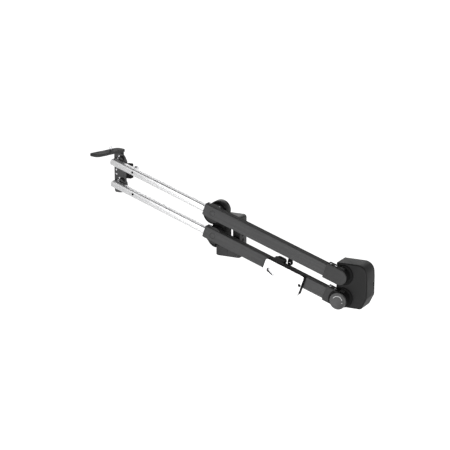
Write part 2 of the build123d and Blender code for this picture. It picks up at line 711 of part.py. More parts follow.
with BuildPart() as power_button:
    with BuildSketch(Plane.YZ.offset(BUTTON_FLANGE[0])):
        with Locations(BUTTON_AT):
            Circle(BUTTON_R + 1)
    extrude(amount=BUTTON_FLANGE[1] - BUTTON_FLANGE[0])
    with BuildSketch(Plane.YZ.offset(BUTTON_FLANGE[1])):
        with Locations(BUTTON_AT):
            Circle(BUTTON_R)
    extrude(amount=FRAME_X[1] + 1 - BUTTON_FLANGE[1])
    fillet(power_button.edges().group_by(Axis.X)[-1], 0.6)
save(power_button, "power_button")

# ------------------------------------------------------------------ camera head
with BuildPart() as head_plate:
    with BuildSketch(level_side(HEAD_FAR)) as outline:
        with Locations((sum(HEAD_X) / 2, sum(HEAD_Z) / 2)):
            Rectangle(HEAD_X[1] - HEAD_X[0], HEAD_Z[1] - HEAD_Z[0])
        fillet(outline.vertices().group_by(Axis.X)[-1], 26)
        fillet(outline.vertices().group_by(Axis.X)[0], 8)
    extrude(amount=HEAD_FAR - HEAD_NEAR)
    chamfer(head_plate.faces().sort_by(Axis.Y)[0].outer_wire().edges(), 1.2)
    with BuildSketch(level_side(HEAD_NEAR)):
        with Locations(FRONT_LOWER, FRONT_UPPER):
            Circle(HEAD_BOSS_R)
    extrude(amount=HEAD_BOSS_T)
save(head_plate, "head_plate")

with BuildPart() as head_pins:
    for front in (FRONT_LOWER, FRONT_UPPER):
        with BuildSketch(level_side(HEAD_NEAR - HEAD_BOSS_T)):
            with Locations(front):
                Circle(HEAD_PIN_R)
        extrude(amount=HEAD_NEAR - HEAD_BOSS_T - HEAD_PIN_NEAR)
save(head_pins, "head_pins")

with BuildPart() as head_screws:
    lower_screw = (PLATE_SCREWS[0][0], PLATE_SCREWS[0][1] - LINK)
    for x, z in (*PLATE_SCREWS, lower_screw):
        with BuildSketch(level_side(HEAD_NEAR)):
            with Locations((FRONT_UPPER[0] + x, FRONT_UPPER[1] + z)):
                Circle(HEAD_SCREW_R)
                RegularPolygon(1.5, 6, mode=Mode.SUBTRACT)
        extrude(amount=2)
    for front in (FRONT_LOWER, FRONT_UPPER):
        with BuildSketch(level_side(HEAD_NEAR - HEAD_BOSS_T)):
            with Locations((front[0] + BOSS_SCREW[0], front[1] + BOSS_SCREW[1])):
                Circle(HEAD_SCREW_R)
                RegularPolygon(1.5, 6, mode=Mode.SUBTRACT)
        extrude(amount=0.6)
save(head_screws, "head_screws")

with BuildPart() as head_bearings:
    for front in (FRONT_LOWER, FRONT_UPPER):
        with BuildSketch(level_side(HEAD_FAR + 8)):
            with Locations(front):
                Circle(HEAD_DRUM_R)
        extrude(amount=8)
    chamfer(head_bearings.faces().sort_by(Axis.Y)[-1].outer_wire().edges(), 1.5)
    chamfer(head_bearings.faces().sort_by(Axis.Y)[-2].outer_wire().edges(), 1.5)
save(head_bearings, "head_bearings")

with BuildPart() as head_box:
    with BuildSketch(level_side(BOX_Y[1])):
        with Locations((sum(BOX_X) / 2, sum(BOX_Z) / 2)):
            RectangleRounded(BOX_X[1] - BOX_X[0], BOX_Z[1] - BOX_Z[0], 4)
        with Locations(FRONT_UPPER, FRONT_LOWER):
            Circle(HEAD_DRUM_R + 0.1, mode=Mode.SUBTRACT)
    extrude(amount=BOX_Y[1] - BOX_Y[0])
    with BuildSketch(Plane.YZ.offset(BOX_X[1])):
        with Locations(THUMB):
            Circle(3 + RUN)
    extrude(amount=-12, mode=Mode.SUBTRACT)
save(head_box, "head_box")

with BuildPart() as thumb_screw:
    with BuildSketch(Plane.YZ.offset(BOX_X[1] - 11)):
        with Locations(THUMB):
            Circle(3)
    extrude(amount=THUMB_X[0] - BOX_X[1] + 11)
    with BuildSketch(Plane.YZ.offset(THUMB_X[0])):
        with Locations(THUMB):
            Circle(8)
            with PolarLocations(8.6, 12):
                Circle(1.2, mode=Mode.SUBTRACT)
    extrude(amount=THUMB_X[1] - THUMB_X[0])
save(thumb_screw, "head_thumb_screw")

with BuildPart() as head_bracket:
    with BuildSketch(level_side(BRACKET_FAR)):
        with Locations(((HEAD_X[0] + BRACKET_REAR) / 2, BRACKET_MID_Z)):
            Rectangle(BRACKET_REAR - HEAD_X[0], 2 * (PLATFORM_Z - BRACKET_MID_Z))
        with Locations(FRONT_UPPER):
            Circle(HEAD_DRUM_R + 0.1, mode=Mode.SUBTRACT)
    extrude(amount=BRACKET_FAR - HEAD_FAR)
    with BuildSketch(Plane.XY.offset(PLATFORM_Z)):
        with Locations(((HEAD_X[0] + SHELF_REAR) / 2, (SHELF_NEAR + BRACKET_FAR) / 2)):
            Rectangle(SHELF_REAR - HEAD_X[0], BRACKET_FAR - SHELF_NEAR)
    extrude(amount=-3)
save(head_bracket, "head_bracket")

with BuildPart() as platform:
    with BuildSketch(Plane(origin=(*PLATFORM_MID, PLATFORM_Z)).rotated((0, 0, PLATFORM_TURN))):
        RectangleRounded(*PLATFORM_SIZE, PLATFORM_R)
        reach = PLATFORM_SIZE[0] / 2 - WAIST + WAIST_R
        with Locations((-reach, 0), (reach, 0)):
            Circle(WAIST_R, mode=Mode.SUBTRACT)
    extrude(amount=PLATFORM_T)
    fillet(platform.faces().sort_by(Axis.Z)[-1].outer_wire().edges(), 2)
    with BuildSketch(Plane.XY.offset(PLATFORM_Z)):
        with Locations((STUD_X, STUD_Y)):
            Circle(STUD_NECK_R)
    extrude(amount=PLATFORM_T, mode=Mode.SUBTRACT)
    rims = platform.edges().filter_by(GeomType.CIRCLE).group_by(Axis.Z)[-1]
    chamfer(rims.filter_by(lambda edge: edge.radius < STUD_NECK_R + 0.1), STUD_SINK)
save(platform, "platform")

with BuildPart() as camera_stud:
    with BuildSketch(Plane(origin=(STUD_X, STUD_Y, PLATFORM_Z - STUD_FOOT_T))):
        Circle(STUD_FOOT_R)
    extrude(amount=STUD_FOOT_T)
    with BuildSketch(Plane(origin=(STUD_X, STUD_Y, PLATFORM_Z))):
        Circle(STUD_NECK_R)
    extrude(amount=PLATFORM_T)
    with BuildSketch(Plane(origin=(STUD_X, STUD_Y, PLATFORM_Z + PLATFORM_T))):
        Circle(SOCKET_R)
    extrude(amount=STUD_OUT)
    chamfer(camera_stud.edges().group_by(Axis.Z)[-1], 0.8)
save(camera_stud, "camera_stud")


# ------------------------------------------------------------------ counterweight
def case_outline(inset):
    """Side outline of the counterweight, inset by a wall, with its big rounded rear corners."""
    low = CASE_BOTTOM + inset
    high = CASE_TOP - inset
    front = CASE_FRONT + inset
    rear = CASE_REAR - inset
    top_r = 36 - inset
    with BuildLine() as outline:
        Line((rear - top_r, high), (front, high))
        Line((front, high), (front, low))
        Line((front, low), (rear - 28, low))
        ThreePointArc((rear - 28, low), (rear - 20, low + 2.6), (rear - 15, low + 8))
        Line((rear - 15, low + 8), (rear + 0.5, low + 36))
        ThreePointArc((rear + 0.5, low + 36), (rear + 3, low + 42), (rear + 3.5, low + 48))
        ThreePointArc((rear + 3.5, low + 48), (rear + 3.5, (low + high) / 2 + 12), (rear, high - top_r))
        RadiusArc((rear, high - top_r), (rear - top_r, high), -top_r)
    make_face(outline.edges())


with BuildPart() as weight_case:
    with BuildSketch(level_side(CASE_FAR - CASE_WALL)):
        case_outline(0)
    extrude(amount=CASE_FAR - CASE_WALL - CASE_NEAR)
    fillet(weight_case.faces().sort_by(Axis.Y)[0].outer_wire().edges(), 1.5)
    with BuildSketch(level_side(CASE_FAR - CASE_WALL)):
        case_outline(CASE_WALL)
    extrude(amount=CASE_FAR - 2 * CASE_WALL - CASE_NEAR, mode=Mode.SUBTRACT)
    with BuildSketch(level_side(CASE_FAR - CASE_WALL)):
        with Locations(REAR_LOWER, REAR_UPPER):
            Circle(PIN_R)
    extrude(amount=CASE_FAR - CASE_WALL - CASE_NEAR, mode=Mode.SUBTRACT)
save(weight_case, "weight_case")

with BuildPart() as weight_cover:
    with BuildSketch(level_side(CASE_FAR)):
        case_outline(0)
    extrude(amount=CASE_WALL)
    fillet(weight_cover.faces().sort_by(Axis.Y)[-1].outer_wire().edges(), 1.5)
    with BuildSketch(level_side(CASE_FAR)):
        with Locations(*BOLTS):
            Circle(3)
    extrude(amount=CASE_WALL, mode=Mode.SUBTRACT)
save(weight_cover, "weight_cover")

with BuildPart() as weight_slabs:
    for slab in range(3):
        far = SLAB_START + slab * (SLAB_T + SLAB_GAP) + SLAB_T
        with BuildSketch(level_side(far)):
            case_outline(CASE_WALL + 1)
            with Locations(*BOLTS):
                Circle(3.2, mode=Mode.SUBTRACT)
        extrude(amount=SLAB_T)
save(weight_slabs, "weight_slabs")

with BuildPart() as weight_bolts:
    for x, z in BOLTS:
        with BuildSketch(level_side(CASE_FAR)):
            with Locations((x, z)):
                Circle(3)
        extrude(amount=CASE_FAR - CASE_NEAR - CASE_WALL)
        with BuildSketch(level_side(CASE_FAR)):
            with Locations((x, z)):
                Circle(5)
                RegularPolygon(2.5, 6, mode=Mode.SUBTRACT)
        extrude(amount=-2.4)
save(weight_bolts, "weight_bolts")

with BuildPart() as rear_bosses:
    for rear in (REAR_LOWER, REAR_UPPER):
        with BuildSketch(level_side(CASE_NEAR)):
            with Locations(rear):
                Circle(REAR_BOSS_R)
                Circle(PIN_R, mode=Mode.SUBTRACT)
        extrude(amount=REAR_BOSS_T)
    chamfer(rear_bosses.edges().filter_by(GeomType.CIRCLE).group_by(Axis.Y)[0].group_by(
        lambda edge: edge.radius)[-1], 2)
save(rear_bosses, "rear_bosses")


def rear_pin(rear, near, name):
    """Rear pivot pin with its head inside the counterweight case."""
    with BuildPart() as pin:
        with BuildSketch(level_side(CASE_NEAR + CASE_WALL)):
            with Locations(rear):
                Circle(PIN_R)
        extrude(amount=CASE_NEAR + CASE_WALL - near)
        with BuildSketch(level_side(CASE_NEAR + CASE_WALL + 4)):
            with Locations(rear):
                Circle(10)
        extrude(amount=4)
    save(pin, name)


rear_pin(REAR_UPPER, CAP_NEAR + 4, "upper_rear_pin")
rear_pin(REAR_LOWER, KNOB_NEAR + 4, "lower_rear_pin")

with BuildPart() as clamp_knob:
    with BuildSketch(level_side(KNOB_FAR)):
        with Locations(REAR_LOWER):
            Circle(KNOB_R - 3.5)
    extrude(amount=KNOB_STEP)
    with BuildSketch(level_side(KNOB_FAR - KNOB_STEP)):
        with Locations(REAR_LOWER):
            Circle(KNOB_R)
    extrude(amount=KNOB_FAR - KNOB_STEP - KNOB_NEAR)
    fillet(clamp_knob.edges().group_by(Axis.Y)[0], 1.8)
    with BuildSketch(level_side(KNOB_FAR)):
        with Locations(REAR_LOWER):
            Circle(PIN_R + RUN)
    extrude(amount=KNOB_FAR - KNOB_NEAR - 3.5, mode=Mode.SUBTRACT)
save(clamp_knob, "clamp_knob")

# ------------------------------------------------------------------ trim carriage on the lower arm
with BuildPart() as carriage_plate:
    with BuildSketch(arm_side(LOWER, CAR_BODY[0])):
        with Locations(CAR_MID):
            RectangleRounded(CAR_U[1] - CAR_U[0], CAR_V[1] - CAR_V[0], CAR_R)
        with Locations(PORT):
            Circle(PORT_R, mode=Mode.SUBTRACT)
        with Locations(((PORT[0] + CAR_U[1]) / 2 + 3, PORT[1])):
            Rectangle(CAR_U[1] - PORT[0] + 6, PORT_SLIT, mode=Mode.SUBTRACT)
    extrude(amount=CAR_BODY[0] - CAR_PLATE)
    fillet(carriage_plate.faces().sort_by(Axis.Y)[0].outer_wire().edges().sort_by(Axis.X)[0], 0.6)
    with BuildSketch(arm_side(LOWER, CAR_PLATE)):
        with Locations(Location((POCKET[0], POCKET[1], 0), (0, 0, POCKET_TILT))):
            SlotOverall(*POCKET_SIZE)
    extrude(amount=-POCKET_DEPTH, mode=Mode.SUBTRACT)
save(carriage_plate, "carriage_plate")

with BuildPart() as carriage_body:
    with BuildSketch(arm_side(LOWER, CAR_BODY[1])):
        with Locations(CAR_MID):
            RectangleRounded(CAR_U[1] - CAR_U[0] - 1, CAR_V[1] - CAR_V[0] - 1, CAR_R)
    extrude(amount=CAR_BODY[1] - CAR_BODY[0])
    # saddle strips over and under the arm, behind the near slab
    with BuildSketch(arm_side(LOWER, ARM_FAR + CAR_GAP)):
        with Locations((sum(CLAMP_U) / 2, SADDLE + STRIP_H / 2)):
            Rectangle(CLAMP_U[1] - CLAMP_U[0], STRIP_H)
        with Locations((CAR_MID[0], -SADDLE - STRIP_H / 2)):
            Rectangle(STRIP_L, STRIP_H)
    extrude(amount=ARM_FAR + CAR_GAP - CAR_BODY[1])
    with BuildSketch(arm_side(LOWER, CAR_BODY[1])):
        with Locations((LOCK_U, LOCK_V)):
            Circle(LOCK_STUD_R + RUN)
    extrude(amount=12, mode=Mode.SUBTRACT)
save(carriage_body, "carriage_body")

with BuildPart() as carriage_clamp:
    with BuildSketch(arm_side(LOWER, CLAMP_FAR)) as lug:
        with Locations((sum(CLAMP_U) / 2, (LUG_TOP - SADDLE - STRIP_H) / 2)):
            Rectangle(CLAMP_U[1] - CLAMP_U[0], LUG_TOP + SADDLE + STRIP_H)
        fillet(lug.vertices().group_by(Axis.Y)[-1], 12)
    extrude(amount=CLAMP_FAR - ARM_FAR - CAR_GAP)
save(carriage_clamp, "carriage_clamp")

with BuildPart() as carriage_lock:
    with BuildSketch(arm_side(LOWER, ARM_FAR + 1)):
        with Locations((LOCK_U, LOCK_V)):
            Circle(LOCK_STUD_R)
    extrude(amount=ARM_FAR + 1 - CAR_BODY[1] + 10)
    with BuildSketch(arm_side(LOWER, ARM_FAR + 11)):
        with Locations((LOCK_U, LOCK_V)):
            Circle(9)
            with Locations((6, 8)):
                Circle(6)
    extrude(amount=10)
save(carriage_lock, "carriage_lock")

with BuildPart() as carriage_screws:
    for u, v in CAR_SCREWS:
        with BuildSketch(arm_side(LOWER, CAR_PLATE)):
            with Locations((u, v)):
                Circle(2.6)
                RegularPolygon(1.3, 6, mode=Mode.SUBTRACT)
        extrude(amount=0.8)
save(carriage_screws, "carriage_screws")
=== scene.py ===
import json
import math

import bmesh
import bpy
from mathutils import Matrix, Vector


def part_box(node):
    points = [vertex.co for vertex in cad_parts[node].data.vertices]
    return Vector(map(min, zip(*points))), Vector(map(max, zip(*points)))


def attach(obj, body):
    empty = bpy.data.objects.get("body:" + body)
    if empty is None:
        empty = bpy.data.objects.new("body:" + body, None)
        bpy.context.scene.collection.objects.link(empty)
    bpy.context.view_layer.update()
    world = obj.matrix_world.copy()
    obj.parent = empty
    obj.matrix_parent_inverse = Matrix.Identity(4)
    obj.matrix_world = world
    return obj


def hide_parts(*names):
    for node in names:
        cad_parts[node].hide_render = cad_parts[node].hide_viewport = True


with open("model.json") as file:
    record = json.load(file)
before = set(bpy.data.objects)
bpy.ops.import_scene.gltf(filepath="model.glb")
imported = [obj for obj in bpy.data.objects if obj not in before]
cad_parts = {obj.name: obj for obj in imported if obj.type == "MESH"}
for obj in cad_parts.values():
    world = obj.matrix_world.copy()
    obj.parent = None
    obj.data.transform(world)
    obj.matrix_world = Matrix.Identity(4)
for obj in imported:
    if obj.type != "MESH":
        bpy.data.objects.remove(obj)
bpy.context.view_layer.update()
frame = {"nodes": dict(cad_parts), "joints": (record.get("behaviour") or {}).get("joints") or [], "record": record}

MM = 0.001
SCENE = bpy.context.scene


# ------------------------------------------------------------------ places read from the frame
def joint(name):
    """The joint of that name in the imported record."""
    return next(j for j in frame["joints"] if j["name"] == name)


def pivot(name):
    """A hinge's place, moved along its own axis to Y = 0."""
    x, _, z = joint(name)["pos_m"]
    return Vector((x, 0, z))


def basis(origin, right, up):
    """Matrix of a drawing place: X is right, Y is up and Z comes out of the drawing."""
    out = right.cross(up)
    place = Matrix((right, up, out)).transposed().to_4x4()
    place.translation = origin
    return place


RIGHT, FAR, UP = Vector((1, 0, 0)), Vector((0, 1, 0)), Vector((0, 0, 1))
ALONG = Vector(joint("bar_slide")["axis"]).normalized()
ACROSS = Vector((-ALONG.z, 0, ALONG.x))
CENTRES = {"lower": pivot("lift"), "upper": pivot("upper_arm_pivot")}
REARS = {"lower": pivot("clamp_knob_turn"), "upper": pivot("weight_level")}
LINK = CENTRES["upper"] - CENTRES["lower"]
FRONTS = {"upper": pivot("head_level"), "lower": pivot("head_level") - LINK}
REAR_REACH = (REARS["upper"] - CENTRES["upper"]).length / MM
FRONT_REACH = (FRONTS["upper"] - CENTRES["upper"]).length / MM
ARM_MID = (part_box("upper_arm_tube")[0].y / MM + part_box("upper_arm_tube")[1].y / MM) / 2


def arm_side(side):
    """Drawing of an arm from the near side: X rearward from its centre pivot, Z = -Y."""
    return basis(CENTRES[side], ALONG, ACROSS)


def arm_section(side):
    """Drawing across an arm: X to the far side from its middle, Y up, Z rearward."""
    return basis(CENTRES[side] + FAR * ARM_MID * MM, FAR, ACROSS)


def level_side(point):
    """Level drawing from the near side about a point: X rearward, Y up, Z = -Y."""
    return basis(point, RIGHT, UP)


def flat(point):
    """A point's X and Z in millimetres, its place in a level drawing from the near side."""
    return point.x / MM, point.z / MM


def edges_of(node):
    """Lowest and highest corner of a CAD node in millimetres."""
    low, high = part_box(node)
    return low / MM, high / MM


def middle_of(node):
    """Middle of a CAD node in millimetres."""
    low, high = edges_of(node)
    return (low + high) / 2


WORLD_SIDE = level_side(Vector((0, 0, 0)))
WORLD_TOP = basis(Vector((0, 0, 0)), RIGHT, FAR)
WORLD_REAR = basis(Vector((0, 0, 0)), FAR, UP)


# ------------------------------------------------------------------ outlines, in millimetres
def rounded(corners, steps=10):
    """Closed outline from (x, y, radius) corners, each rounded by an arc that meets both its sides."""
    points = []
    for index, (x, y, radius) in enumerate(corners):
        corner = Vector((x, y))
        if radius <= 0:
            points.append(corner)
            continue
        before = (Vector(corners[index - 1][:2]) - corner).normalized()
        after = (Vector(corners[(index + 1) % len(corners)][:2]) - corner).normalized()
        half = math.acos(max(-1, min(1, before.dot(after)))) / 2
        centre = corner + (before + after).normalized() * radius / math.sin(half)
        start = corner + before * radius / math.tan(half) - centre
        end = corner + after * radius / math.tan(half) - centre
        turn = start.angle_signed(end)
        for step in range(steps + 1):
            points.append(centre + Matrix.Rotation(-turn * step / steps, 2) @ start)
    return points


def rectangle(x0, x1, y0, y1, radius, steps=10):
    return rounded([(x0, y0, radius), (x1, y0, radius), (x1, y1, radius), (x0, y1, radius)], steps)


def circle(x, y, radius, steps=48, turn=0.0):
    return [Vector((x + radius * math.cos(turn + 2 * math.pi * step / steps),
                    y + radius * math.sin(turn + 2 * math.pi * step / steps))) for step in range(steps)]


def slot_outline(x, y, length, width, tilt=0.0):
    """Outline of a slot with round ends, turned about its middle."""
    half = (length - width) / 2
    turn = Matrix.Rotation(math.radians(tilt), 2)
    ring = []
    for end, start in ((half, -math.pi / 2), (-half, math.pi / 2)):
        for step in range(17):
            angle = start + math.pi * step / 16
            local = Vector((end + width / 2 * math.cos(angle), width / 2 * math.sin(angle)))
            ring.append(Vector((x, y)) + turn @ local)
    return ring


def ring_sector(radius, width, start, end, steps=40):
    """Outline of a curved stripe between two angles in degrees."""
    angles = [math.radians(start + (end - start) * step / steps) for step in range(steps + 1)]
    outer = [Vector((math.cos(a), math.sin(a))) * (radius + width / 2) for a in angles]
    inner = [Vector((math.cos(a), math.sin(a))) * (radius - width / 2) for a in reversed(angles)]
    return outer + inner


def moved(outline, x, y):
    return [point + Vector((x, y)) for point in outline]


# ------------------------------------------------------------------ mesh makers
def keep(name, mesh):
    piece = bpy.data.objects.new(name, mesh)
    SCENE.collection.objects.link(piece)
    return piece


def smooth(mesh, angle=32):
    for face in mesh.polygons:
        face.use_smooth = True
    mesh.set_sharp_from_angle(angle=math.radians(angle))


def prism(name, place, loops, low, high, bevel=0.5, steps=3):
    """A flat drawing of an outline and its holes, given depth, with rounded edges and clean corners."""
    drawing = bpy.data.curves.new(name, "CURVE")
    drawing.dimensions = "2D"
    drawing.fill_mode = "BOTH"
    for loop in loops:
        spline = drawing.splines.new("POLY")
        spline.points.add(len(loop) - 1)
        for point, (x, y) in zip(spline.points, loop):
            point.co = (x * MM, y * MM, 0, 1)
        spline.use_cyclic_u = True
    drawing.extrude = ((high - low) / 2 - bevel) * MM
    drawing.bevel_depth = bevel * MM
    drawing.bevel_resolution = steps
    drawing.offset = -bevel * MM
    helper = bpy.data.objects.new(name, drawing)
    SCENE.collection.objects.link(helper)
    ready = bpy.context.evaluated_depsgraph_get()
    mesh = bpy.data.meshes.new_from_object(helper.evaluated_get(ready))
    bpy.data.objects.remove(helper)
    bpy.data.curves.remove(drawing)
    mesh.name = name
    mesh.materials.clear()
    form = bmesh.new()
    form.from_mesh(mesh)
    bmesh.ops.remove_doubles(form, verts=form.verts, dist=1e-6)
    bmesh.ops.dissolve_degenerate(form, dist=1e-7, edges=form.edges)
    bmesh.ops.recalc_face_normals(form, faces=form.faces)
    form.to_mesh(mesh)
    form.free()
    mesh.transform(place @ Matrix.Translation((0, 0, (low + high) / 2 * MM)))
    smooth(mesh)
    return keep(name, mesh)


def cutter(place, loops, low, high):
    """A prism that only cuts or trims another piece."""
    return prism("cutter", place, loops, low, high, 0.1, 1)


def lathe(name, place, profile, x=0.0, y=0.0, steps=72, flutes=0, flute_depth=0.0, fluted=()):
    """A closed profile of (radius, height) points turned about the drawing's Z through (x, y)."""
    form = bmesh.new()
    rings = []
    for index, (radius, height) in enumerate(profile):
        if radius < 1e-6:
            rings.append([form.verts.new((x * MM, y * MM, height * MM))])
            continue
        ring = []
        for step in range(steps):
            angle = 2 * math.pi * step / steps
            wave = flute_depth * max(0, math.cos(flutes * angle)) if index in fluted else 0
            ring.append(form.verts.new(((x + (radius - wave) * math.cos(angle)) * MM,
                                        (y + (radius - wave) * math.sin(angle)) * MM, height * MM)))
        rings.append(ring)
    pairs = list(zip(rings, rings[1:]))
    if len(rings[0]) > 1 and len(rings[-1]) > 1:
        pairs.append((rings[-1], rings[0]))
    for low, high in pairs:
        for step in range(steps):
            following = (step + 1) % steps
            if len(low) == 1 and len(high) == 1:
                continue
            if len(low) == 1:
                form.faces.new((low[0], high[following], high[step]))
            elif len(high) == 1:
                form.faces.new((low[step], low[following], high[0]))
            else:
                form.faces.new((low[step], low[following], high[following], high[step]))
    bmesh.ops.recalc_face_normals(form, faces=form.faces)
    mesh = bpy.data.meshes.new(name)
    form.to_mesh(mesh)
    form.free()
    mesh.transform(place)
    smooth(mesh, 40)
    return keep(name, mesh)


def disc_profile(radius, low, high, bevel, bore=0.0):
    """Profile of a disc or ring with rounded outer edges."""
    points = [(bore, low), (radius - bevel, low)]
    points += [(radius - bevel + bevel * math.sin(a), low + bevel - bevel * math.cos(a))
               for a in (math.pi / 8, math.pi / 4, 3 * math.pi / 8, math.pi / 2)]
    points += [(radius - bevel + bevel * math.cos(a), high - bevel + bevel * math.sin(a))
               for a in (0, math.pi / 8, math.pi / 4, 3 * math.pi / 8)]
    points += [(radius - bevel, high), (bore, high)]
    return points


def carve(piece, cutters, operation="DIFFERENCE"):
    """Cuts other pieces out of one, or keeps what they share, and removes the cutters."""
    for cutter in cutters:
        cut = piece.modifiers.new("cut", "BOOLEAN")
        cut.operation = operation
        cut.solver = "EXACT"
        cut.object = cutter
        bpy.context.view_layer.update()
        ready = bpy.context.evaluated_depsgraph_get()
        mesh = bpy.data.meshes.new_from_object(piece.evaluated_get(ready))
        piece.modifiers.clear()
        old = piece.data
        piece.data = mesh
        mesh.name = old.name
        bpy.data.meshes.remove(old)
        bpy.data.objects.remove(cutter)
    # closes any sliver the cuts left open
    form = bmesh.new()
    form.from_mesh(piece.data)
    bmesh.ops.holes_fill(form, edges=[edge for edge in form.edges if edge.is_boundary], sides=8)
    form.to_mesh(piece.data)
    form.free()
    smooth(piece.data)
    return piece


def joined(name, pieces):
    """One piece from several that are the same part."""
    form = bmesh.new()
    for piece in pieces:
        form.from_mesh(piece.data)
        bpy.data.objects.remove(piece)
    mesh = bpy.data.meshes.new(name)
    form.to_mesh(mesh)
    form.free()
    smooth(mesh)
    return keep(name, mesh)


def screw(name, place, x, y, seat, radius, height):
    """Socket screw head with a domed rim and a hexagon socket."""
    socket = radius * 0.55
    head = prism(name, place, [circle(x, y, radius, 32), circle(x, y, socket, 6)], seat, seat + height,
                 min(0.5, height / 3), 2)
    floor = circle(x, y, radius * 0.8, 24)
    floor = prism(name + "_floor", place, [floor], seat, seat + height * 0.45, 0.1, 1)
    return joined(name, [head, floor])


# ------------------------------------------------------------------ materials
def blank(name):
    """A new node material, its node tree and its Principled shader."""
    material = bpy.data.materials.new(name)
    material.use_nodes = True
    tree = material.node_tree
    return material, tree, tree.nodes["Principled BSDF"]


def along_arm(tree):
    """Coordinates whose X runs along the arms, for grain drawn out by the extrusion."""
    place = tree.nodes.new("ShaderNodeTexCoord")
    turn = tree.nodes.new("ShaderNodeMapping")
    turn.inputs["Rotation"].default_value = (0, -math.atan2(-ALONG.z, ALONG.x), 0)
    tree.links.new(place.outputs["Object"], turn.inputs["Vector"])
    return turn.outputs["Vector"]


def level(tree):
    return tree.nodes.new("ShaderNodeTexCoord").outputs["Object"]


def stretched(tree, vector, scale):
    scaled = tree.nodes.new("ShaderNodeMapping")
    scaled.inputs["Scale"].default_value = scale
    tree.links.new(vector, scaled.inputs["Vector"])
    return scaled.outputs["Vector"]


def noise(tree, vector, scale, detail=3.0, roughness=0.6):
    pattern = tree.nodes.new("ShaderNodeTexNoise")
    pattern.inputs["Scale"].default_value = scale
    pattern.inputs["Detail"].default_value = detail
    pattern.inputs["Roughness"].default_value = roughness
    tree.links.new(vector, pattern.inputs["Vector"])
    return pattern.outputs["Fac"]


def cells(tree, vector, scale):
    pattern = tree.nodes.new("ShaderNodeTexVoronoi")
    pattern.inputs["Scale"].default_value = scale
    tree.links.new(vector, pattern.inputs["Vector"])
    return pattern.outputs["Distance"]


def spread(tree, value, low, high, source=(0.3, 0.7)):
    """The value moved from its source range into low to high."""
    change = tree.nodes.new("ShaderNodeMapRange")
    for name, number in zip(("From Min", "From Max", "To Min", "To Max"), (*source, low, high)):
        change.inputs[name].default_value = number
    tree.links.new(value, change.inputs["Value"])
    return change.outputs["Result"]


def tint(tree, factor, first, second):
    """Colour mixed between two by a factor."""
    blend = tree.nodes.new("ShaderNodeMix")
    blend.data_type = "RGBA"
    colours = [socket for socket in blend.inputs if socket.type == "RGBA"]
    colours[0].default_value = (*first, 1)
    colours[1].default_value = (*second, 1)
    tree.links.new(factor, blend.inputs["Factor"])
    return next(socket for socket in blend.outputs if socket.type == "RGBA")


OUTSIDE_EDGE = (0.53, 0.62)     # pointiness where rubbed wear and the painted edge highlight start and where they are full


def wear_and_edge_highlight(tree, colour, edge, amount=1.0):
    """The colour, lighter along outside edges: rubbed wear from handling, and a painted highlight along the edges.
    """
    shape = tree.nodes.new("ShaderNodeNewGeometry")
    edge_wear_and_highlight = spread(tree, shape.outputs["Pointiness"], 0, amount, OUTSIDE_EDGE)
    blend = tree.nodes.new("ShaderNodeMix")
    blend.data_type = "RGBA"
    colours = [socket for socket in blend.inputs if socket.type == "RGBA"]
    tree.links.new(colour, colours[0])
    colours[1].default_value = (*edge, 1)
    tree.links.new(edge_wear_and_highlight, blend.inputs["Factor"])
    return next(socket for socket in blend.outputs if socket.type == "RGBA")


def bump(tree, shader, height, depth, strength=0.5):
    relief = tree.nodes.new("ShaderNodeBump")
    relief.inputs["Strength"].default_value = strength
    relief.inputs["Distance"].default_value = depth
    tree.links.new(height, relief.inputs["Height"])
    tree.links.new(relief.outputs["Normal"], shader.inputs["Normal"])


def grey(value):
    return (value, value, value * 1.01)


def anodised(name, shade, grain=True, specular=0.1, rough=0.55):
    """Black anodised aluminium: a fine blasted grain, drawn out along an extrusion."""
    material, tree, shader = blank(name)
    place = along_arm(tree)
    drawn = noise(tree, stretched(tree, place, (6, 260, 260)) if grain else place, 1 if grain else 40)
    speckle = noise(tree, place, 2600, 2)
    colour = tint(tree, spread(tree, drawn, 0, 1), grey(shade * 0.9), grey(shade * 1.1))
    # outside edges lighter: rubbed wear and a painted edge highlight
    tree.links.new(wear_and_edge_highlight(tree, colour, grey(shade * 1.7), 0.6), shader.inputs["Base Color"])
    tree.links.new(spread(tree, speckle, rough - 0.05, rough + 0.05), shader.inputs["Roughness"])
    shader.inputs["Specular IOR Level"].default_value = specular
    bump(tree, shader, speckle, 0.00006, 0.35)
    return material


def moulded(name, shade, rough=0.6, texture=1500, specular=0.2):
    """Black moulded plastic with a spark-eroded texture."""
    material, tree, shader = blank(name)
    place = level(tree)
    grain = cells(tree, place, texture)
    cloud = noise(tree, place, 25)
    colour = tint(tree, spread(tree, cloud, 0, 1), grey(shade * 0.92), grey(shade * 1.08))
    # outside edges lighter: rubbed wear and a painted edge highlight
    tree.links.new(wear_and_edge_highlight(tree, colour, grey(shade * 1.6), 0.5), shader.inputs["Base Color"])
    tree.links.new(spread(tree, cloud, rough - 0.04, rough + 0.04), shader.inputs["Roughness"])
    shader.inputs["Specular IOR Level"].default_value = specular
    bump(tree, shader, grain, 0.00012, 0.3)
    return material


def silver():
    """Clear anodised aluminium bar with fine die lines along its length."""
    material, tree, shader = blank("silver_anodised")
    place = along_arm(tree)
    lines = noise(tree, stretched(tree, place, (1.5, 900, 900)), 1, 4)
    speckle = noise(tree, place, 1800, 2)
    shader.inputs["Metallic"].default_value = 0.75
    colour = tint(tree, spread(tree, lines, 0, 1), grey(0.58), grey(0.66))
    tree.links.new(colour, shader.inputs["Base Color"])
    tree.links.new(spread(tree, speckle, 0.38, 0.46), shader.inputs["Roughness"])
    bump(tree, shader, lines, 0.00005, 0.25)
    return material


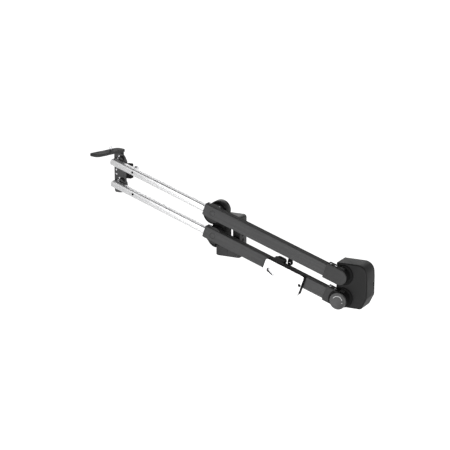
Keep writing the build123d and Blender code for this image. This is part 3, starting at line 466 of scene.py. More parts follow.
def white():
    """Smooth white moulded cover with a faint orange-peel surface."""
    material, tree, shader = blank("white_cover")
    place = level(tree)
    peel = noise(tree, place, 320, 2)
    cloud = noise(tree, place, 18)
    colour = tint(tree, spread(tree, cloud, 0, 1), grey(0.86), grey(0.90))
    tree.links.new(colour, shader.inputs["Base Color"])
    tree.links.new(spread(tree, peel, 0.30, 0.36), shader.inputs["Roughness"])
    shader.inputs["Coat Weight"].default_value = 0.2
    bump(tree, shader, peel, 0.00008, 0.2)
    return material


def turned(name, colour, rough=0.3, metallic=1.0):
    """Machined metal with fine tool marks."""
    material, tree, shader = blank(name)
    place = level(tree)
    marks = noise(tree, stretched(tree, place, (60, 900, 900)), 1, 3)
    cloud = noise(tree, place, 90)
    shader.inputs["Metallic"].default_value = metallic
    first = tuple(channel * 0.88 for channel in colour)
    tree.links.new(tint(tree, spread(tree, cloud, 0, 1), first, colour), shader.inputs["Base Color"])
    tree.links.new(spread(tree, marks, rough - 0.06, rough + 0.06), shader.inputs["Roughness"])
    bump(tree, shader, marks, 0.00004, 0.3)
    return material


def solder_mask():
    """Circuit board with copper tracks under a green mask."""
    material, tree, shader = blank("board")
    place = level(tree)
    tracks = tree.nodes.new("ShaderNodeTexBrick")
    tracks.inputs["Scale"].default_value = 260
    tracks.inputs["Mortar Size"].default_value = 0.03
    tracks.inputs["Color1"].default_value = (0.02, 0.13, 0.05, 1)
    tracks.inputs["Color2"].default_value = (0.025, 0.16, 0.065, 1)
    tracks.inputs["Mortar"].default_value = (0.10, 0.34, 0.14, 1)
    tree.links.new(place, tracks.inputs["Vector"])
    tree.links.new(tracks.outputs["Color"], shader.inputs["Base Color"])
    tree.links.new(spread(tree, noise(tree, place, 400), 0.3, 0.4), shader.inputs["Roughness"])
    return material


ARM_BLACK = anodised("arm_black", 0.064, specular=0.01)
BODY_BLACK = anodised("body_black", 0.034, grain=False)
# a darker copy of the black anodised finish: painted shade on the frame set back between the arms
FRAME_BLACK_SHADED = anodised("frame_black_shaded", 0.006, grain=False, specular=0.17, rough=0.42)
DEEP_BLACK = moulded("deep_black", 0.006, rough=0.7, specular=0.12)
CAP_BLACK = moulded("cap_black", 0.034)
CASE_BLACK = moulded("case_black", 0.009, rough=0.55, texture=1100, specular=0.17)
KNOB_BLACK = moulded("knob_black", 0.062, rough=0.55)
SILVER = silver()
WHITE = white()
STEEL = turned("steel", (0.62, 0.62, 0.64))
SCREW_STEEL = turned("screw_steel", (0.78, 0.78, 0.80), rough=0.36, metallic=0.7)
BRASS = turned("brass", (0.74, 0.55, 0.24))
BOARD = solder_mask()
PRINT = moulded("print_grey", 0.4, rough=0.6, texture=700, specular=0.3)
TIP_GREY = moulded("tip_grey", 0.45, rough=0.5, texture=900, specular=0.3)
FINISHES = {
    "anodised_black": BODY_BLACK,
    "black_plastic": DEEP_BLACK,
    "silver_bar": SILVER,
    "white_cover": WHITE,
    "steel": STEEL,
    "brass": BRASS,
    "board": BOARD,
}


def dress(piece, body, material, slot, *nodes):
    """Gives a piece its material and the body it rides on, and hides the CAD nodes it stands for; its finish, the
    slot, is not used.
    """
    piece.data.materials.clear()
    piece.data.materials.append(material)
    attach(piece, body)
    if nodes:
        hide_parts(*nodes)
    return piece


# ------------------------------------------------------------------ arms
def grooved_section(width, height, radius, grooves, groove_w, groove_d):
    """Section of an extrusion whose top and bottom faces carry shallow grooves."""
    w, h, g = width / 2, height / 2, groove_w / 2
    lower = []
    for x in grooves:
        lower += [(x - g, -h, 0), (x - g, groove_d - h, 0), (x + g, groove_d - h, 0), (x + g, -h, 0)]
    upper = [(-x, -y, r) for x, y, r in lower]
    return rounded([(-w, -h, radius), *lower, (w, -h, radius), (w, h, radius), *upper, (-w, h, radius)], 6)


def arm_above(side):
    """Drawing of an arm from above: X rearward from its centre pivot, Z up from its middle."""
    return basis(CENTRES[side] + FAR * ARM_MID * MM, ALONG, FAR)


def radial(side, angle, depth):
    """Drawing seen from outside a hub at an angle, at a depth in millimetres: Z out from its axis."""
    out = Vector((math.cos(angle), 0, math.sin(angle)))
    return basis(CENTRES[side] + FAR * depth * MM, FAR, out.cross(FAR))


# stations run along an arm from its centre pivot, and depths run towards the near side
ARM_W, ARM_H, ARM_R = 30.0, 43.0, 3.0
CAVITY_W, CAVITY_H = 25.0, 37.0
ARM_FRONT, TUBE_REAR, COLLAR_T = -32.5, 470.0, 4.5
GUIDE_MID, GUIDE_T, GUIDE_L = 15.2, 5.6, 24.0
HUB_R = {"lower": 30.0, "upper": 34.5}
HUB_CORE_R, HUB_BACK = 26.0, 22.0
SET_ANGLE, SET_DEPTH = math.radians(53), -36.0
CAP_FRONT, CAP_R, CAP_CORNER_R = 453.0, 26.0, 1.5
CAP_FAR, CAP_SPLIT, CAP_NEAR, CAP_SEAM = 28.0, 56.0, 62.0, 0.3
CAP_BORE = {"lower": (6.3, 70.0), "upper": (6.1, 59.0)}      # radius, and the depth that the bore reaches
CAP_SCREWS = (461.0, 481.0)
LOCK_STATION = -23.5


def arm_tube(side):
    """Black tube with two shallow grooves along its top and bottom."""
    section = grooved_section(ARM_W, ARM_H, ARM_R, (-6, 6), 2.4, 1.0)
    cavity = rectangle(-CAVITY_W / 2, CAVITY_W / 2, -CAVITY_H / 2, CAVITY_H / 2, 1, 4)
    tube = prism(f"{side}_tube", arm_section(side), [section, cavity], ARM_FRONT, TUBE_REAR, 0.3, 2)
    dress(tube, f"{side}_arm", ARM_BLACK, "anodised_black", f"{side}_arm_tube")


def arm_collar(side):
    """Collar on the tube's mouth with a soft front edge, and two guide blocks inside."""
    outline = rectangle(-ARM_W / 2, ARM_W / 2, -ARM_H / 2, ARM_H / 2, 5)
    mouth = rectangle(-12.3, 12.3, -12.3, 12.3, 5)
    place = arm_section(side)
    ring = prism(f"{side}_mouth", place, [outline, mouth], ARM_FRONT - COLLAR_T, ARM_FRONT, 1.1, 4)
    guides = []
    for middle in (-GUIDE_MID, GUIDE_MID):
        block = rectangle(-12, 12, middle - GUIDE_T / 2, middle + GUIDE_T / 2, 1, 3)
        guides.append(prism(f"{side}_guide", place, [block], ARM_FRONT - 1, ARM_FRONT + GUIDE_L, 0.4, 2))
    dress(joined(f"{side}_collar", [ring, *guides]), f"{side}_arm", ARM_BLACK, "black_plastic",
          f"{side}_arm_collar")


def arm_hub(side):
    """Cradle behind the arm: a core with a rounded flange, notched for the tube."""
    place = arm_side(side)
    flange = HUB_R[side]
    core = lathe(f"{side}_core", place, disc_profile(HUB_CORE_R, HUB_BACK, 53, 1.2))
    rim = lathe(f"{side}_rim", place, [(0.0, 51.5), (flange - 1.6, 51.5), (flange - 0.5, 52), (flange, 53),
                                       (flange, 54.2), (flange - 0.6, 55.4), (flange - 1.8, 56),
                                       (flange - 4, 56), (flange - 4.6, 55.3), (0.0, 55.3)])
    shells = []
    for shell in (core, rim):
        channel = rectangle(-80, 80, -ARM_H / 2 - 0.05, ARM_H / 2 + 0.05, 0.5, 2)
        cutters = [cutter(place, [channel], 30, 70)]
        if side == "upper" and shell is core:
            cutters.append(cutter(radial(side, SET_ANGLE, SET_DEPTH), [circle(0, 0, 5, 32)], 22.5, 40))
        shells.append(carve(shell, cutters))
    dress(joined(f"{side}_hub", shells), f"{side}_arm", BODY_BLACK, "anodised_black", f"{side}_arm_hub")
    if side == "upper":
        skirt = prism("upper_skirt", place, [ring_sector(36.0, 7, 208, 290)], 50, 56, 0.8, 3)
        dress(skirt, "upper_arm", DEEP_BLACK, "anodised_black")
    # thin dark ring round the pivot cover: a painted shadow along the cover's edge
    groove = lathe(f"{side}_cover_shadow_ring", place, disc_profile(10.3, 59.7, 60.06, 0.05, 9.2))
    dress(groove, f"{side}_arm", DEEP_BLACK, "anodised_black")
    cover = lathe(f"{side}_cover", place, [(0.0, 60.0), (9.4, 60.0), (9.4, 60.3), (8.6, 60.5), (8.2, 60.2),
                                           (7.8, 60.5), (7.2, 60.8), (0.0, 60.8)])
    dress(cover, f"{side}_arm", ARM_BLACK, "anodised_black", f"{side}_pivot_cover")


def end_cap(side):
    """Rear end cap with a pocket for the tube's end: a rounded body and a cover on its near face."""
    place = arm_side(side)
    reach = REAR_REACH
    arc = [(reach + CAP_R * math.cos(a), CAP_R * math.sin(a), 0)
           for a in (math.radians(step * 7.5 - 90) for step in range(25))]
    outline = rounded([(CAP_FRONT, -CAP_R, CAP_CORNER_R), *arc, (CAP_FRONT, CAP_R, CAP_CORNER_R)], 4)
    bore_r, bore_end = CAP_BORE[side]
    tube = rectangle(-ARM_W / 2, ARM_W / 2, -ARM_H / 2, ARM_H / 2, ARM_R)
    inside = rectangle(-CAVITY_W / 2, 10, -CAVITY_H / 2, CAVITY_H / 2, 1, 3)
    halves = []
    for low, high, label in ((CAP_FAR, CAP_SPLIT - CAP_SEAM, "cap_body"), (CAP_SPLIT, CAP_NEAR, "cap_cover")):
        half = prism(f"{side}_{label}", place, [outline], low, high, 1.2, 5)
        cutters = [cutter(arm_section(side), [tube], CAP_FRONT - 5, TUBE_REAR),
                   cutter(place, [circle(reach, 0, bore_r, 32)], 20, bore_end)]
        if label == "cap_body":
            cutters.append(cutter(arm_section(side), [inside], CAP_FRONT, TUBE_REAR + 14))
            cutters += [prism("well", arm_above(side), [circle(station, 0, 3.9, 32)], 23.5, 32, 0.2, 1)
                        for station in CAP_SCREWS]
        halves.append(carve(half, cutters))
    body, cover = halves
    dress(body, f"{side}_arm", DEEP_BLACK, "black_plastic", f"{side}_end_cap")
    dress(cover, f"{side}_arm", CAP_BLACK, "black_plastic")
    # raised tab over the pivot, on the far half of the top
    tab = prism(f"{side}_tab", arm_above(side), [rectangle(497, 512, -1, 15, 1.5, 4)], 24, 27.5, 0.6, 3)
    dress(tab, f"{side}_arm", CAP_BLACK, "black_plastic")


def arm_screws(side):
    """Two cap screws and the bar's lock screw on top of the arm, and the upper hub's set screw."""
    place = arm_above(side)
    heads = [screw(f"{side}_cap_screw", place, station, 0, seat=22, radius=3.4, height=4.8)
             for station in CAP_SCREWS]
    heads.append(screw(f"{side}_lock_screw", place, LOCK_STATION, 0, seat=18.8, radius=4, height=5))
    if side == "upper":
        pocket = radial(side, SET_ANGLE, SET_DEPTH)
        heads.append(screw("set_screw", pocket, 0, 0, seat=22.5, radius=3.2, height=3.6))
    dress(joined(f"{side}_screws", heads), f"{side}_arm", STEEL, "steel", f"{side}_arm_screws")


BAR, BAR_R = 24.0, 5.0
BAR_FRONT, BAR_REAR, BAR_NOSE_R = -436.0, 60.0, 8.0
BAR_PIVOT_R = {"lower": 5.8, "upper": 5.55}
CABLE_HOLE = -343.0


def bar(side):
    """Silver bar: a square extrusion with grooved faces, a rounded nose and a cable hole."""
    place = arm_side(side)
    outer = grooved_section(BAR, BAR, BAR_R, (-2.5, 2.5), 1.2, 0.5)
    inner = rectangle(-10, 10, -10, 10, 3, 5)
    piece = prism(f"{side}_silver_bar", arm_section(side), [outer, inner], BAR_FRONT, BAR_REAR, 0.2, 1)
    nosed = rectangle(BAR_FRONT, BAR_REAR + 20, -BAR / 2, BAR / 2, BAR_NOSE_R, 10)
    piece = carve(piece, [cutter(place, [nosed], 30, 60)], "INTERSECT")
    cuts = [cutter(place, [circle(-FRONT_REACH, 0, BAR_PIVOT_R[side], 40)], 30, 45),
            cutter(place, [circle(CABLE_HOLE, 0, 4.2, 40)], 50, 70)]
    dress(carve(piece, cuts), f"{side}_bar", SILVER, "silver_bar", f"{side}_bar")
    # black bush seen through the cable hole
    profile = [(2.0, 55.2), (4.1, 55.2), (4.1, 56.6), (3.4, 56.8), (2.6, 56.2), (2.0, 56.0)]
    bush = lathe(f"{side}_cable_bush", place, profile, CABLE_HOLE, 0, 40)
    back = prism("back", place, [circle(CABLE_HOLE, 0, 3.6, 32)], 54.2, 55.4, 0.1, 1)
    dress(joined(f"{side}_cable_hole", [bush, back]), f"{side}_bar", DEEP_BLACK, "black_plastic")


for side in ("lower", "upper"):
    arm_tube(side)
    arm_collar(side)
    arm_hub(side)
    end_cap(side)
    arm_screws(side)
    bar(side)


# ------------------------------------------------------------------ turret
HOUSING_LOW, HOUSING_HIGH = edges_of("drive_housing")
COVER_FAR = edges_of("drive_cover")[1].y
UPPER_X, UPPER_Z = flat(CENTRES["upper"])
LOWER_X, LOWER_Z = flat(CENTRES["lower"])
PAN_LOW, PAN_HIGH = edges_of("pan_housing")
FRAME_X0, FRAME_X1 = -59.0, HOUSING_HIGH.x
FRAME_TOP, FRAME_R = 147.0, 11.0
CHIN, CHIN_R, CHIN_TOP, CHIN_GAP = (-42.0, 64.0), 39.0, 66.0, 0.5
WINDOW = (-13.0, 22.5, 52.0, 118.0)
DRUM_R, DRUM_NOTCH = 35.5, (36, 64)
SLOTS, SLOT_TOP, SLOT_PITCH, SLOT_W = 5, 128.0, 3.6, 1.5


def frame_outline(inset=0.0):
    """Side outline of the upright frame: a box with a round chin that hangs ahead of the pan housing."""
    r, top, low = CHIN_R - inset, CHIN_TOP - inset, PAN_HIGH.z + inset
    behind = PAN_LOW.x - CHIN_GAP - inset
    start = math.pi - math.asin((top - CHIN[1]) / r)
    end = 2 * math.pi - math.acos((behind - CHIN[0]) / r)
    chin = [(CHIN[0] + r * math.cos(a), CHIN[1] + r * math.sin(a), 0)
            for a in (start + (end - start) * step / 24 for step in range(25))]
    x0, x1 = FRAME_X0 + inset, FRAME_X1 - inset
    return rounded([(x0, FRAME_TOP - inset, FRAME_R), (x0, top, 1), *chin, (behind, low, 0), (x1, low, 3),
                    (x1, FRAME_TOP - inset, FRAME_R)], 6)


def drive_housing():
    """Upright frame with its window and liner, the round drum above it, cooling slots and the far cover."""
    window = rectangle(*WINDOW, 4, 6)
    near = -HOUSING_LOW.y
    box = prism("drive_box", WORLD_SIDE, [frame_outline(), window], -32.4, near, 1.4, 4)
    neck = rectangle(UPPER_X - 21, UPPER_X + 21, FRAME_TOP - 4, UPPER_Z, 0.5, 2)
    web = prism("web", WORLD_SIDE, [neck], -14, near - 0.6, 1.0, 3)
    profile = [(0.0, -15), (DRUM_R - 3, -15), (DRUM_R - 0.8, -14), (DRUM_R, -12), (DRUM_R, near - 2.5),
               (DRUM_R - 1, near - 0.7), (DRUM_R - 3, near - 0.2), (0.0, near - 0.2)]
    drum = lathe("drum", WORLD_SIDE, profile, UPPER_X, UPPER_Z, 96)
    sunk = rectangle(UPPER_X - 90, UPPER_X + 90, FRAME_TOP - 60, FRAME_TOP - 2, 1, 2)
    notch = moved(ring_sector(DRUM_R, 7, *DRUM_NOTCH), UPPER_X, UPPER_Z)
    drum = carve(drum, [cutter(WORLD_SIDE, [sunk], -30, 30), cutter(WORLD_SIDE, [notch], -13.5, -6)])
    cuts = []
    for index in range(SLOTS):
        z = SLOT_TOP - index * SLOT_PITCH
        cuts.append(cutter(WORLD_SIDE, [rectangle(-8, 34, z, z + SLOT_W, 0.7, 3)], near - 1.2, near + 3))
    cuts.append(cutter(WORLD_SIDE, [circle(LOWER_X, LOWER_Z, 7.5, 40)], near - 3, near + 3))
    body = joined("drive_body", [carve(box, cuts), web, drum])
    dress(body, "turret", FRAME_BLACK_SHADED, "anodised_black", "drive_housing")
    x0, x1, z0, z1 = WINDOW
    liner = prism("window_liner", WORLD_SIDE, [rectangle(x0 - 0.5, x1 + 0.5, z0 - 0.5, z1 + 0.5, 4, 6),
                                               rectangle(x0 + 0.7, x1 - 0.7, z0 + 0.7, z1 - 0.7, 3, 6)],
                  -35.3, near - 0.3, 0.2, 2)
    dress(liner, "turret", DEEP_BLACK, "black_plastic")
    cover = prism("drive_lid", WORLD_SIDE, [frame_outline(0.6),
                                            rectangle(x0 - 0.6, x1 + 0.6, z0 - 0.6, z1 + 0.6, 4, 6)],
                  -COVER_FAR, -32.6, 1.0, 3)
    dress(cover, "turret", FRAME_BLACK_SHADED, "anodised_black", "drive_cover")


def rear_face():
    """Bezels round the power socket and its button on the frame's rear face."""
    rings = []
    for node, radius in (("power_socket", 6.6), ("power_button", 5.8)):
        _, y, z = middle_of(node)
        profile = [(radius - 1.6, -0.5), (radius, -0.5), (radius, 0.3), (radius - 0.5, 0.7),
                   (radius - 1.2, 0.5), (radius - 1.6, 0.1)]
        rings.append(lathe(f"{node}_bezel", WORLD_REAR, [(r, FRAME_X1 + h) for r, h in profile], y, z, 56))
    dress(joined("rear_bezels", rings), "turret", DEEP_BLACK, "black_plastic")


def pan_housing():
    """Hollow pan housing, rounder in front, with an upright groove in its near face."""
    low, high = PAN_LOW, PAN_HIGH
    outline = rounded([(low.x, low.y, 20), (high.x, low.y, 7), (high.x, high.y, 7), (low.x, high.y, 20)], 12)
    shell = prism("pan_shell", WORLD_TOP, [outline], low.z, high.z, 2.2, 5)
    cavity = rounded([(low.x + 3, low.y + 3, 17), (high.x - 3, low.y + 3, 4), (high.x - 3, high.y - 3, 4),
                      (low.x + 3, high.y - 3, 17)], 8)
    groove = rectangle(2.6, 5.4, low.y - 3, low.y + 1.6, 0.4, 2)
    shell = carve(shell, [cutter(WORLD_TOP, [cavity], low.z - 5, high.z - 4),
                          cutter(WORLD_TOP, [groove], low.z - 5, high.z + 5)])
    dress(shell, "turret", BODY_BLACK, "anodised_black", "pan_housing")


def base_plate():
    """Round plate and hub with the tripod's blind threaded hole."""
    radius = edges_of("base_plate")[1].x
    plate = lathe("base_disc", WORLD_TOP, [
        (4.76, 0.0), (radius - 0.8, 0.0), (radius, 0.8), (radius, 5.2), (radius - 0.6, 6.0), (7.2, 6.0),
        (7.0, 6.2), (7.0, 14.0), (0.0, 14.0), (0.0, 12.0), (4.76, 12.0)], 0, 0, 96)
    dress(plate, "base", BODY_BLACK, "anodised_black", "base_plate")


drive_housing()
rear_face()
pan_housing()
base_plate()


# ------------------------------------------------------------------ counterweight
CASE_LOW, CASE_HIGH = edges_of("weight_case")
CASE_REAR, CASE_FAR, CASE_EDGE_R = 526.0, -53.0, 5.5
BOSS_R = 35.8
ARC_R, ARC_W, DOT_R, DOT_AT = 17.5, 2.3, 1.4, math.radians(-16)


def case_outline(inset=0.0):
    """Side outline of the case: chamfered below at the rear, bowed out a little, rounded above."""
    low, high, front = CASE_LOW.z + inset, CASE_HIGH.z - inset, CASE_LOW.x + inset
    rear = CASE_REAR - inset
    return rounded([(front, low, 3), (rear - 16, low, 13), (rear + 3.6, low + 41, 20),
                    (rear + 3.6, high - 50, 120), (rear, high, 34), (front, high, 3)], 14)


def counterweight():
    """Case with a seam round its far edge and a latch slot at the rear, and a boss at each rear pivot."""
    near, far = -CASE_LOW.y, CASE_FAR
    case = prism("weight_shell", WORLD_SIDE, [case_outline()], far, near, CASE_EDGE_R, 8)
    around = rectangle(380, 560, -150, 60, 1, 2)
    seam = cutter(WORLD_SIDE, [around, case_outline(0.9)], far + 6.2, far + 7.0)
    latch = cutter(WORLD_REAR, [rectangle(37, 45, -50, -36, 2, 4)], CASE_REAR, CASE_REAR + 14)
    dress(carve(case, [latch, seam]), "counterweight", CASE_BLACK, "black_plastic", "weight_case",
          "weight_cover")
    # the bosses are black, and their deep black and wide rim also stand for the shade round them: painted shade
    profile = [(6.0, near - 1), (BOSS_R, near - 1), (BOSS_R, near + 0.3), (35.0, near + 0.9),
               (34.2, near + 2.2), (33.6, near + 4), (32.8, near + 5.2), (31.5, near + 5.5),
               (6.0, near + 5.5)]
    bosses = [lathe(f"{side}_boss", WORLD_SIDE, profile, *flat(REARS[side]), 96)
              for side in ("lower", "upper")]
    dress(joined("weight_bosses", bosses), "counterweight", DEEP_BLACK, "black_plastic", "rear_bosses")


def clamp_knob():
    """Round clamp knob with a fluted rim, a sunk face and a printed arc with a dot."""
    x, z = flat(REARS["lower"])
    low, high = edges_of("clamp_knob")
    back, face, radius = -high.y, -low.y, (high.x - low.x) / 2
    profile = [(6.1, back), (radius - 3.5, back), (radius - 3.5, back + 1.5), (radius - 0.6, back + 1.5),
               (radius, back + 2.2), (radius, face - 2.6), (radius - 0.5, face - 1.2),
               (radius - 1.6, face - 0.3), (radius - 2.8, face), (radius - 4.6, face),
               (radius - 5.2, face - 0.5), (0.0, face - 0.5), (0.0, face - 4.0), (6.1, face - 4.0)]
    knob = lathe("knob", WORLD_SIDE, profile, x, z, steps=360, flutes=60, flute_depth=0.5, fluted=(4, 5))
    dress(knob, "clamp_knob", KNOB_BLACK, "black_plastic", "clamp_knob")
    arc = moved(ring_sector(ARC_R, ARC_W, 13, 152), x, z)
    arc = prism("arc", WORLD_SIDE, [arc], face - 0.6, face - 0.3, 0.05, 1)
    dot = circle(x + ARC_R * math.cos(DOT_AT), z + ARC_R * math.sin(DOT_AT), DOT_R, 24)
    dot = prism("dot", WORLD_SIDE, [dot], face - 0.6, face - 0.3, 0.05, 1)
    dress(joined("knob_marks", [arc, dot]), "clamp_knob", PRINT, "black_plastic")
    # dark disc in the end cap behind the knob: a painted shadow of the knob
    place = arm_side("lower")
    shade = circle(REAR_REACH, 0, 38, 96)
    shade = prism("knob_shadow_disc", place, [shade], CAP_NEAR - 0.5, CAP_NEAR + 0.3, 0.1, 1)
    keeper = rectangle(CAP_FRONT + 1.5, REAR_REACH + 3, -CAP_R + 1.3, CAP_R - 1.3, 1, 3)
    shade = carve(shade, [cutter(place, [keeper], CAP_NEAR - 3, CAP_NEAR + 3)], "INTERSECT")
    dress(shade, "lower_arm", DEEP_BLACK, "black_plastic")


counterweight()
clamp_knob()


# ------------------------------------------------------------------ carriage
# U runs along the arm from its centre pivot, V across it, and depths towards the near side
CAR_U, CAR_V, CAR_R = (223.0, 376.0), (-47.0, 30.0), 9
PLATE_OUT, PLATE_IN, ARM_GAP = 84.0, 82.4, 60.4
PLATE_RIM, PLATE_R = 1.2, 8.3
POCKET, POCKET_L, POCKET_W, POCKET_TILT, POCKET_SLOPE = (255.0, -9.0), 34, 17, -14, 0.27
PORT, PORT_R, PORT_SLIT = (368.0, -7.0), 5.5, 0.8
CLAMP_U, STRIP_REAR, STRIP_V = (238, 278), 358, (21.9, 29.9)
LUG_BACK, LUG_FACE, LUG_TOP = 22.5, 29.6, 33
LOCK_U, LOCK_V = 292.0, 26.5
LEVER_BACK, LEVER_FACE = 17, 22.2


def carriage():
    """Black box on the arm with a thin white face plate, a finger pocket and a cable port."""
    place = arm_side("lower")
    start = math.asin(PORT_SLIT / PORT_R)
    port = [(PORT[0] + PORT_R * math.cos(a), PORT[1] + PORT_R * math.sin(a), 0)
            for a in (-start - (2 * math.pi - 2 * start) * step / 32 for step in range(33))]
    (u0, u1), (v0, v1) = ((low + PLATE_RIM, high - PLATE_RIM) for low, high in (CAR_U, CAR_V))
    outline = rounded([(u0, v0, PLATE_R), (u1, v0, PLATE_R), (u1, PORT[1] - PORT_SLIT, 0.4), *port,
                       (u1, PORT[1] + PORT_SLIT, 0.4), (u1, v1, PLATE_R), (u0, v1, PLATE_R)], 12)
    pocket = slot_outline(*POCKET, POCKET_L, POCKET_W, POCKET_TILT)
    front = prism("cover_front", place, [outline, pocket], PLATE_IN + 0.1, PLATE_OUT, 0.3, 3)
    # the pocket's floor slopes up towards the rear
    lean = Matrix.Translation((0, 0, -POCKET_SLOPE * POCKET[0] * MM))
    lean[2][0] = POCKET_SLOPE
    inner = slot_outline(*POCKET, POCKET_L - 0.6, POCKET_W - 0.6, POCKET_TILT)
    floor = prism("pocket_floor", place @ lean, [inner], PLATE_OUT - 12, PLATE_OUT - 7, 0.3, 2)
    dress(joined("carriage_cover", [front, floor]), "carriage", WHITE, "white_cover", "carriage_plate")
    back = prism("carriage_case", place, [rectangle(*CAR_U, *CAR_V, CAR_R)], ARM_GAP, PLATE_IN, 1.0, 4)
    back = carve(back, [cutter(place, [pocket], PLATE_OUT - 16, PLATE_OUT)])
    strips = []
    for rear_end, sign in ((CLAMP_U[1], 1), (STRIP_REAR, -1)):
        strip = rectangle(CLAMP_U[0], rear_end, *sorted((sign * STRIP_V[0], sign * STRIP_V[1])), 1.5, 3)
        strips.append(prism("strip", place, [strip], LUG_FACE, ARM_GAP + 2, 0.8, 3))
    dress(joined("carriage_back", [back, *strips]), "carriage", DEEP_BLACK, "black_plastic", "carriage_body")
    (u0, u1), low, top = CLAMP_U, -STRIP_V[1], LUG_TOP
    lug = rounded([(u0, low, 2), (u1, low, 2), (u1, top, 10), (u0, top, 14)], 8)
    lug = prism("carriage_lug", place, [lug], LUG_BACK, LUG_FACE, 1.0, 3)
    dress(lug, "carriage", CASE_BLACK, "black_plastic", "carriage_clamp")
    corner = (CAR_U[1] - 4.6, CAR_V[1] - 4.6)
    corner_screw = screw("corner_screw", place, *corner, PLATE_OUT - 0.8, radius=2.8, height=1.3)
    dress(corner_screw, "carriage", SCREW_STEEL, "steel", "carriage_screws")


def lock_lever():
    """Small lever behind the arm that clamps the carriage, with a bright screw in its hub."""
    place = arm_side("lower")
    u, v = LOCK_U, LOCK_V
    # the lever sweeps behind the carriage's lug, so only its hub comes forward of the lug's back
    outline = rounded([(u - 12, v - 7, 6), (u + 4, v - 9, 6), (u + 6, v + 4, 5), (u - 4, v + 24, 4),
                       (u - 14, v + 20, 4)], 6)
    body = prism("lever", place, [outline], LEVER_BACK, LEVER_FACE, 1.2, 3)
    hub = lathe("hub", place, disc_profile(9, 21, 29, 1.2), u, v, 56)
    stud = lathe("stud", place, disc_profile(2.5, 29, 70, 0.4), u, v, 32)
    lever = joined("lock_lever", [body, hub, stud])
    dress(lever, "carriage_lock", DEEP_BLACK, "black_plastic", "carriage_lock")
    pin = screw("lever_screw", place, u - 1, v, seat=28.6, radius=4.0, height=1.8)
    dress(pin, "carriage_lock", SCREW_STEEL, "steel")


carriage()
lock_lever()


# ------------------------------------------------------------------ camera head
HEAD_LOW, HEAD_HIGH = edges_of("head_plate")
FRONT_X = FRONTS["upper"].x / MM
FRONT_Z = {side: FRONTS[side].z / MM for side in FRONTS}
HEAD_FACE, HEAD_BACK, HEAD_BOSS_R, HEAD_DRUM_R = 29.0, 23.0, 21.0, 23.0
PLATE_SCREWS = ((-3.0, 25.0), (-15.9, -26.0), (-15.5, -41.5), (-3.0, -55.0))
BOSS_SCREW, SHADOW_DISC_AT = (-7.2, 16.5), (8.5, 17.5)


def front_pair(name, profile, steps, x=0.0, z=0.0):
    """The same turned piece at both front pivots, at an offset from them."""
    return [lathe(name, WORLD_SIDE, profile, FRONT_X + x, FRONT_Z[side] + z, steps) for side in FRONTS]


def head():
    """Upright plate with a boss and a bearing drum at each front pivot, a round black disc of painted shadow near
    each, and its screws.
    """
    x0, x1, z0, z1 = HEAD_LOW.x, HEAD_HIGH.x, HEAD_LOW.z, HEAD_HIGH.z
    outline = rounded([(x0, z0, 8), (x1, z0, 26), (x1, z1, 26), (x0, z1, 8)], 12)
    plate = prism("head_side", WORLD_SIDE, [outline], HEAD_BACK, HEAD_FACE, 1.3, 4)
    bosses = front_pair("boss", disc_profile(HEAD_BOSS_R, HEAD_FACE - 2, HEAD_FACE + 3, 1.0), 80)
    plate = carve(carve(plate, [bosses[1]], "UNION"), [bosses[0]], "UNION")
    panel = rectangle(x0 + 22, x1 - 9, FRONT_Z["lower"] + 24, FRONT_Z["upper"] - 24, 3, 5)
    plate = carve(plate, [cutter(WORLD_SIDE, [panel], HEAD_FACE - 1.0, HEAD_FACE + 2)])
    dress(plate, "head", ARM_BLACK, "anodised_black", "head_plate")
    drum = [(0.0, 15), (21, 15), (22.6, 15.8), (HEAD_DRUM_R, 17.2), (HEAD_DRUM_R, HEAD_BACK),
            (0.0, HEAD_BACK)]
    drums = joined("head_drums", front_pair("drum", drum, 96))
    dress(drums, "head", BODY_BLACK, "anodised_black", "head_bearings")
    heads = [screw("plate_screw", WORLD_SIDE, FRONT_X + x, FRONT_Z["upper"] + z, HEAD_FACE - 0.2,
                   radius=3.2, height=2.2) for x, z in PLATE_SCREWS]
    heads += [screw("boss_screw", WORLD_SIDE, FRONT_X + BOSS_SCREW[0], FRONT_Z[side] + BOSS_SCREW[1],
                    HEAD_FACE + 2.9, radius=3.2, height=0.7) for side in FRONTS]
    dress(joined("head_heads", heads), "head", SCREW_STEEL, "steel", "head_screws")
    # round black discs up and behind each front pivot: painted shadow
    shadow_disc = [(0.0, 28.5), (9.5, 28.5), (9.5, 31.9), (9.1, 32.4), (8.3, 32.4), (7.9, 31.9), (0.0, 31.9)]
    dress(joined("head_shadow_discs", front_pair("shadow_disc", shadow_disc, 64, *SHADOW_DISC_AT)), "head", DEEP_BLACK, "anodised_black")


SIDE_GROOVES, REAR_GROOVES, GROOVE_W, GROOVE_D = 4, 5, 1.6, 1.1


